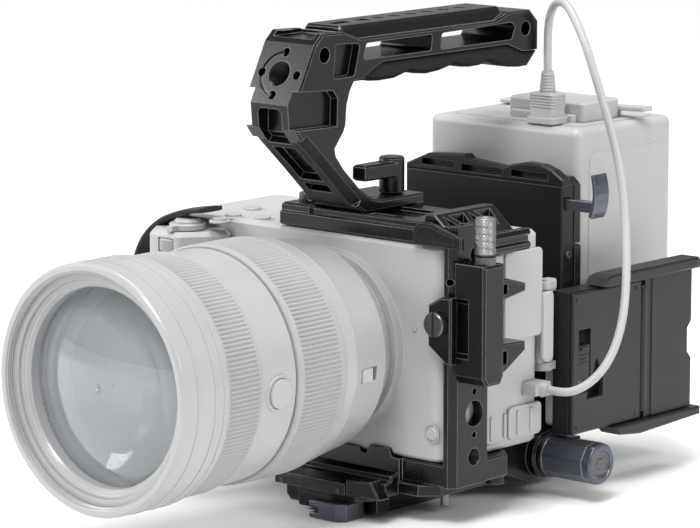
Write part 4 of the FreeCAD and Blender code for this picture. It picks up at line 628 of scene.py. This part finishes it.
def faceted_knob():
    """The battery foot's clamping knob: a grip with eight soft flats and a dished cap."""
    profile = [(22.4, 0), (22.4, 2.5), (46.4, 2.5), (46.4, 6.6), (47.2, 7.5), (49.4, 7.8),
               (50.0, KNOB_RADIUS), (52.0, KNOB_RADIUS), (60.0, KNOB_RADIUS),
               (66.5, KNOB_RADIUS), (68.4, KNOB_RADIUS), (69.0, KNOB_RADIUS),
               (70.4, 7.5), (71.0, 6.8), (71.0, 5.4), (70.2, 5.0), (69.8, 4.4), (69.8, 0)]

    def facet(angle, index):
        if index not in (5, 6, 7, 8, 9, 10, 11):
            return 0
        turn = (angle + 0.2) % (2 * math.pi / KNOB_SIDES) - math.pi / KNOB_SIDES
        cut = KNOB_RADIUS - min(KNOB_RADIUS, KNOB_FLAT / math.cos(turn))
        return -cut * (0.5 if index in (5, 11) else 1)
    piece = lathe("knob_faceted", KNOB_SPOT, KNOB_AXIS, profile, "accent_blue", "knob",
                  192, facet)
    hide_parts("foot_knob")
    lathe("knob_cap", KNOB_SPOT, KNOB_AXIS,
          [(69.7, 0), (69.7, 5.1), (70.5, 5.3), (70.5, 4.7), (70.1, 4.3), (70.1, 2.2),
           (70.5, 1.9), (70.5, 0)], "dark_steel", "knob", 96)
    lathe("knob_mark", KNOB_SPOT, KNOB_AXIS,
          [(66.7, 7.5), (66.7, 7.84), (67.1, 7.84), (67.1, 7.5)], "silver_steel", "knob", 96,
          lambda angle, index: facet(angle, 8))
    lathe("knob_collar", KNOB_SPOT, KNOB_AXIS,
          [(46.7, 7.4), (46.9, 8.0), (48.6, 8.1), (49.0, 7.6)], "dark_steel", "knob", 96)


def dress_rig():
    """The thumbscrew and the knob, the ridges in the bores, small screws and blank labels."""
    knurled_thumbscrew()
    faceted_knob()
    inward = (0, math.cos(FACE_TILT), -math.sin(FACE_TILT))
    face_spot = (0, -29.05 + FACE_SINK * math.cos(FACE_TILT),
                 99.5 - FACE_SINK * math.sin(FACE_TILT))
    thread_rings("handle_face_thread", face_spot, inward, LARGE_THREAD, 9.2, 1.1, "rig")
    thread_rings("cage_large_thread", (52.2, 12, -21.6), (1, 0, 0), LARGE_THREAD, 3.8, 1.1, "rig")
    thread_rings("cage_small_thread", (52.2, 12, -37.4), (1, 0, 0), SMALL_THREAD, 3.8, 0.9, "rig")
    for index in range(6):
        thread_rings("handle_top_thread_%d" % index, (0, 24.5 + 9.2 * index, 110.0), (0, 0, 1),
                     2.75, 4.6, 0.8, "rig")
    for index, (x, y) in enumerate(((-8.6, 12.0), (8.6, 12.0))):
        socket_screw("bed_screw_%d" % index, (x, y, 50.7), (0, 0, 1), 2.0, "rig", 1.0)
    for index, x in enumerate((-11.6, 15.2)):
        socket_screw("badge_screw_%d" % index, (x, -15.1, -51.4), (0, -1, 0), 0.9, "rig", 0.5)
    for index, (y, z) in enumerate(((88.6, 24.0), (88.6, -30.0), (88.6, 4.0))):
        socket_screw("plate_side_screw_%d" % index, (37.9, y, z), (1, 0, 0), 1.5, "rig", 0.8)
    slab("name_label", "y", [(41.0, 41.2), (41.0, 44.4), (43.4, 46.6), (47.2, 46.6),
                             (58.4, 43.6), (58.4, 41.2)], -2.75, -2.4, "label_black", "rig", 0.2)
    slab("base_label", "y", rounded((-12.6, -51.8), (16.0, -49.2), 0.8), -15.45, -15.1,
         "label_black", "rig", 0.15)


def dress_battery():
    """The battery's raised panels, the outlet's shoulders and the plug's collar and grips."""
    slab("battery_side_panel", "x", rounded((104.0, -26.0), (150.0, 60.0), 4.0), 35.4, 35.95,
         "battery_shell", "rig", 0.25)
    slab("battery_top_panel", "z", rounded((-32.0, 104.0), (31.0, 150.0), 4.0), 69.3, 69.95,
         "battery_shell", "rig", 0.3)
    for index, y in enumerate((108.6, 136.6)):
        slab("outlet_shoulder_%d" % index, "z", rounded((-6.0, y), (24.0, y + 2.8), 0.8),
             69.6, 72.8, "battery_shell", "rig", 0.4)
    slab("plug_collar", "z", rounded((9.6, 97.9), (22.8, 108.5), 2.0), 69.9, 72.6,
         "plug_shell", "rig", 0.5)
    for index in range(5):
        z = 76.2 + 1.1 * index
        slab("plug_grip_%d" % index, "z", rounded((10.3, 98.5), (22.1, 107.9), 1.8), z, z + 0.55,
             "plug_shell", "rig", 0.2)
    for index in range(6):
        z = 82.2 + 1.15 * index
        radius = 2.95 - 0.11 * index
        lathe("relief_rib_%d" % index, (16.2, 103.2, z), (0, 0, 1),
              [(0, radius - 0.5), (0, radius + 0.12), (0.3, radius + 0.25), (0.6, radius + 0.08),
               (0.6, radius - 0.5)], "plug_shell", "rig", 48)


def dress_hood():
    """Raised grip lines by the latch and small pins at the leaves' corners."""
    for index in range(3):
        z = -9.6 - 1.5 * index
        slab("latch_ridge_%d" % index, "x", rounded((71.4, z), (75.8, z + 0.6), 0.25), 57.7, 58.15,
             "hood_black", "hood_catch", 0.12)
    for index, (y, z) in enumerate(((69.4, 11.6), (69.4, -35.8), (104.8, 11.6), (104.8, -35.8))):
        disc("hood_pin_%d" % index, (57.95, y, z), (1, 0, 0), 0.8, 0.3, "hood_black", "screen")


# ---------------------------------------------------------------- hand strap
STRAP_Y = -6.5
STRAP_HALF = 6.3
STRAP_INSIDE = (-60, STRAP_Y, 0)
STRAP_SPOTS = [(-54.5, 42.6), (-61.0, 41.9), (-68.0, 40.1), (-75.0, 37.3), (-82.0, 32.0),
               (-86.6, 25.6), (-89.0, 17.6), (-89.6, 4.0), (-88.4, -10.0), (-85.0, -24.0),
               (-80.6, -34.0)]


def make_strap():
    """A padded band: a crowned section with bound edges along a smooth line round the grip."""
    spots = smooth_line("strap_line", [at(x, STRAP_Y, z) for x, z in STRAP_SPOTS], 8)
    half = STRAP_HALF
    section = [(-half, 0.0), (-half + 0.3, 0.75), (-half + 1.3, 0.85), (-half + 1.6, 0.6),
               (-half / 2, 1.05), (0, 1.15), (half / 2, 1.05), (half - 1.6, 0.6),
               (half - 1.3, 0.85), (half - 0.3, 0.75), (half, 0.0), (half - 0.3, -0.75),
               (half - 1.6, -0.9), (0, -1.0), (-half + 1.6, -0.9), (-half + 0.3, -0.75)]
    vertices = []
    for index, spot in enumerate(spots):
        before, after = spots[max(index - 1, 0)], spots[min(index + 1, len(spots) - 1)]
        along = (after - before).normalized()
        out = along.cross(Vector((0, 1, 0))).normalized()
        if out.dot(spot - at(*STRAP_INSIDE)) < 0:
            out.negate()
        for across, lift in section:
            vertices.append(spot + Vector((0, across * MM, 0)) + out * lift * MM)
    faces = swept_faces(len(spots), len(section))
    strap = link_mesh("strap_band", vertices, faces, "strap_webbing", "rig")
    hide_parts("hand_strap")


# ---------------------------------------------------------------- stage
FLOOR_REACH = 14.0
SKY_COLOUR = (0.96, 0.98, 1, 1)
SKY_STRENGTH = 0.42
SUN_STRENGTH = 2.5
SUN_ANGLE = math.radians(24)
SUN_WAY = (0.35, -0.75, 1.25)
SOFT_BOXES = (("left_box", (-0.75, -0.55, 0.55), 0.5, 5.0),
              ("right_box", (0.95, 0.25, 0.5), 0.4, 4.0),
              ("top_box", (-0.1, 0.1, 0.95), 0.5, 5.5))
AIM_SPOT = (0, 0, 10)


def make_stage():
    """A pale floor, an even sky, a soft sun and three soft boxes aimed at the rig."""
    mesh = bpy.data.meshes.new("floor")
    reach = FLOOR_REACH
    mesh.from_pydata([(-reach, -reach, 0), (reach, -reach, 0), (reach, reach, 0),
                      (-reach, reach, 0)], [], [(0, 1, 2, 3)])
    floor = bpy.data.objects.new("floor", mesh)
    bpy.context.scene.collection.objects.link(floor)
    pale = Shader("floor_white", (0.93, 0.93, 0.93), 0.7)
    mesh.materials.append(pale.finish(pale.mix(pale.spread(pale.noise(3.0, 2), 0, 1),
                                               pale.tint(0.99), pale.tint(1.01))))
    world = bpy.data.worlds.new("studio")
    bpy.context.scene.world = world
    world.use_nodes = True
    sky = world.node_tree.nodes["Background"]
    sky.inputs["Color"].default_value = SKY_COLOUR
    sky.inputs["Strength"].default_value = SKY_STRENGTH
    sun = bpy.data.lights.new("soft_sun", "SUN")
    sun.energy = SUN_STRENGTH
    sun.angle = SUN_ANGLE
    lamp = bpy.data.objects.new("soft_sun", sun)
    bpy.context.scene.collection.objects.link(lamp)
    lamp.rotation_euler = Vector(SUN_WAY).to_track_quat("Z", "Y").to_euler()
    for name, spot, size, power in SOFT_BOXES:
        data = bpy.data.lights.new(name, "AREA")
        data.shape = "RECTANGLE"
        data.size = size
        data.size_y = size * 0.5
        data.energy = power
        box = bpy.data.objects.new(name, data)
        bpy.context.scene.collection.objects.link(box)
        box.location = spot
        aim = Vector(spot) - at(*AIM_SPOT)
        box.rotation_euler = aim.to_track_quat("Z", "Y").to_euler()
    bpy.context.scene.view_settings.view_transform = "Standard"


def dress_nodes():
    """Each CAD node takes its slot's material."""
    for row in frame["record"]["subparts"]:
        data = frame["nodes"][row["node"]].data
        data.materials.clear()
        data.materials.append(MATERIALS[row["material_slot"]])


make_camera()
MATERIALS = make_materials()
dress_nodes()
make_cable()
dress_lens()
dress_camera()
dress_rig()
dress_battery()
dress_hood()
make_strap()
make_stage()
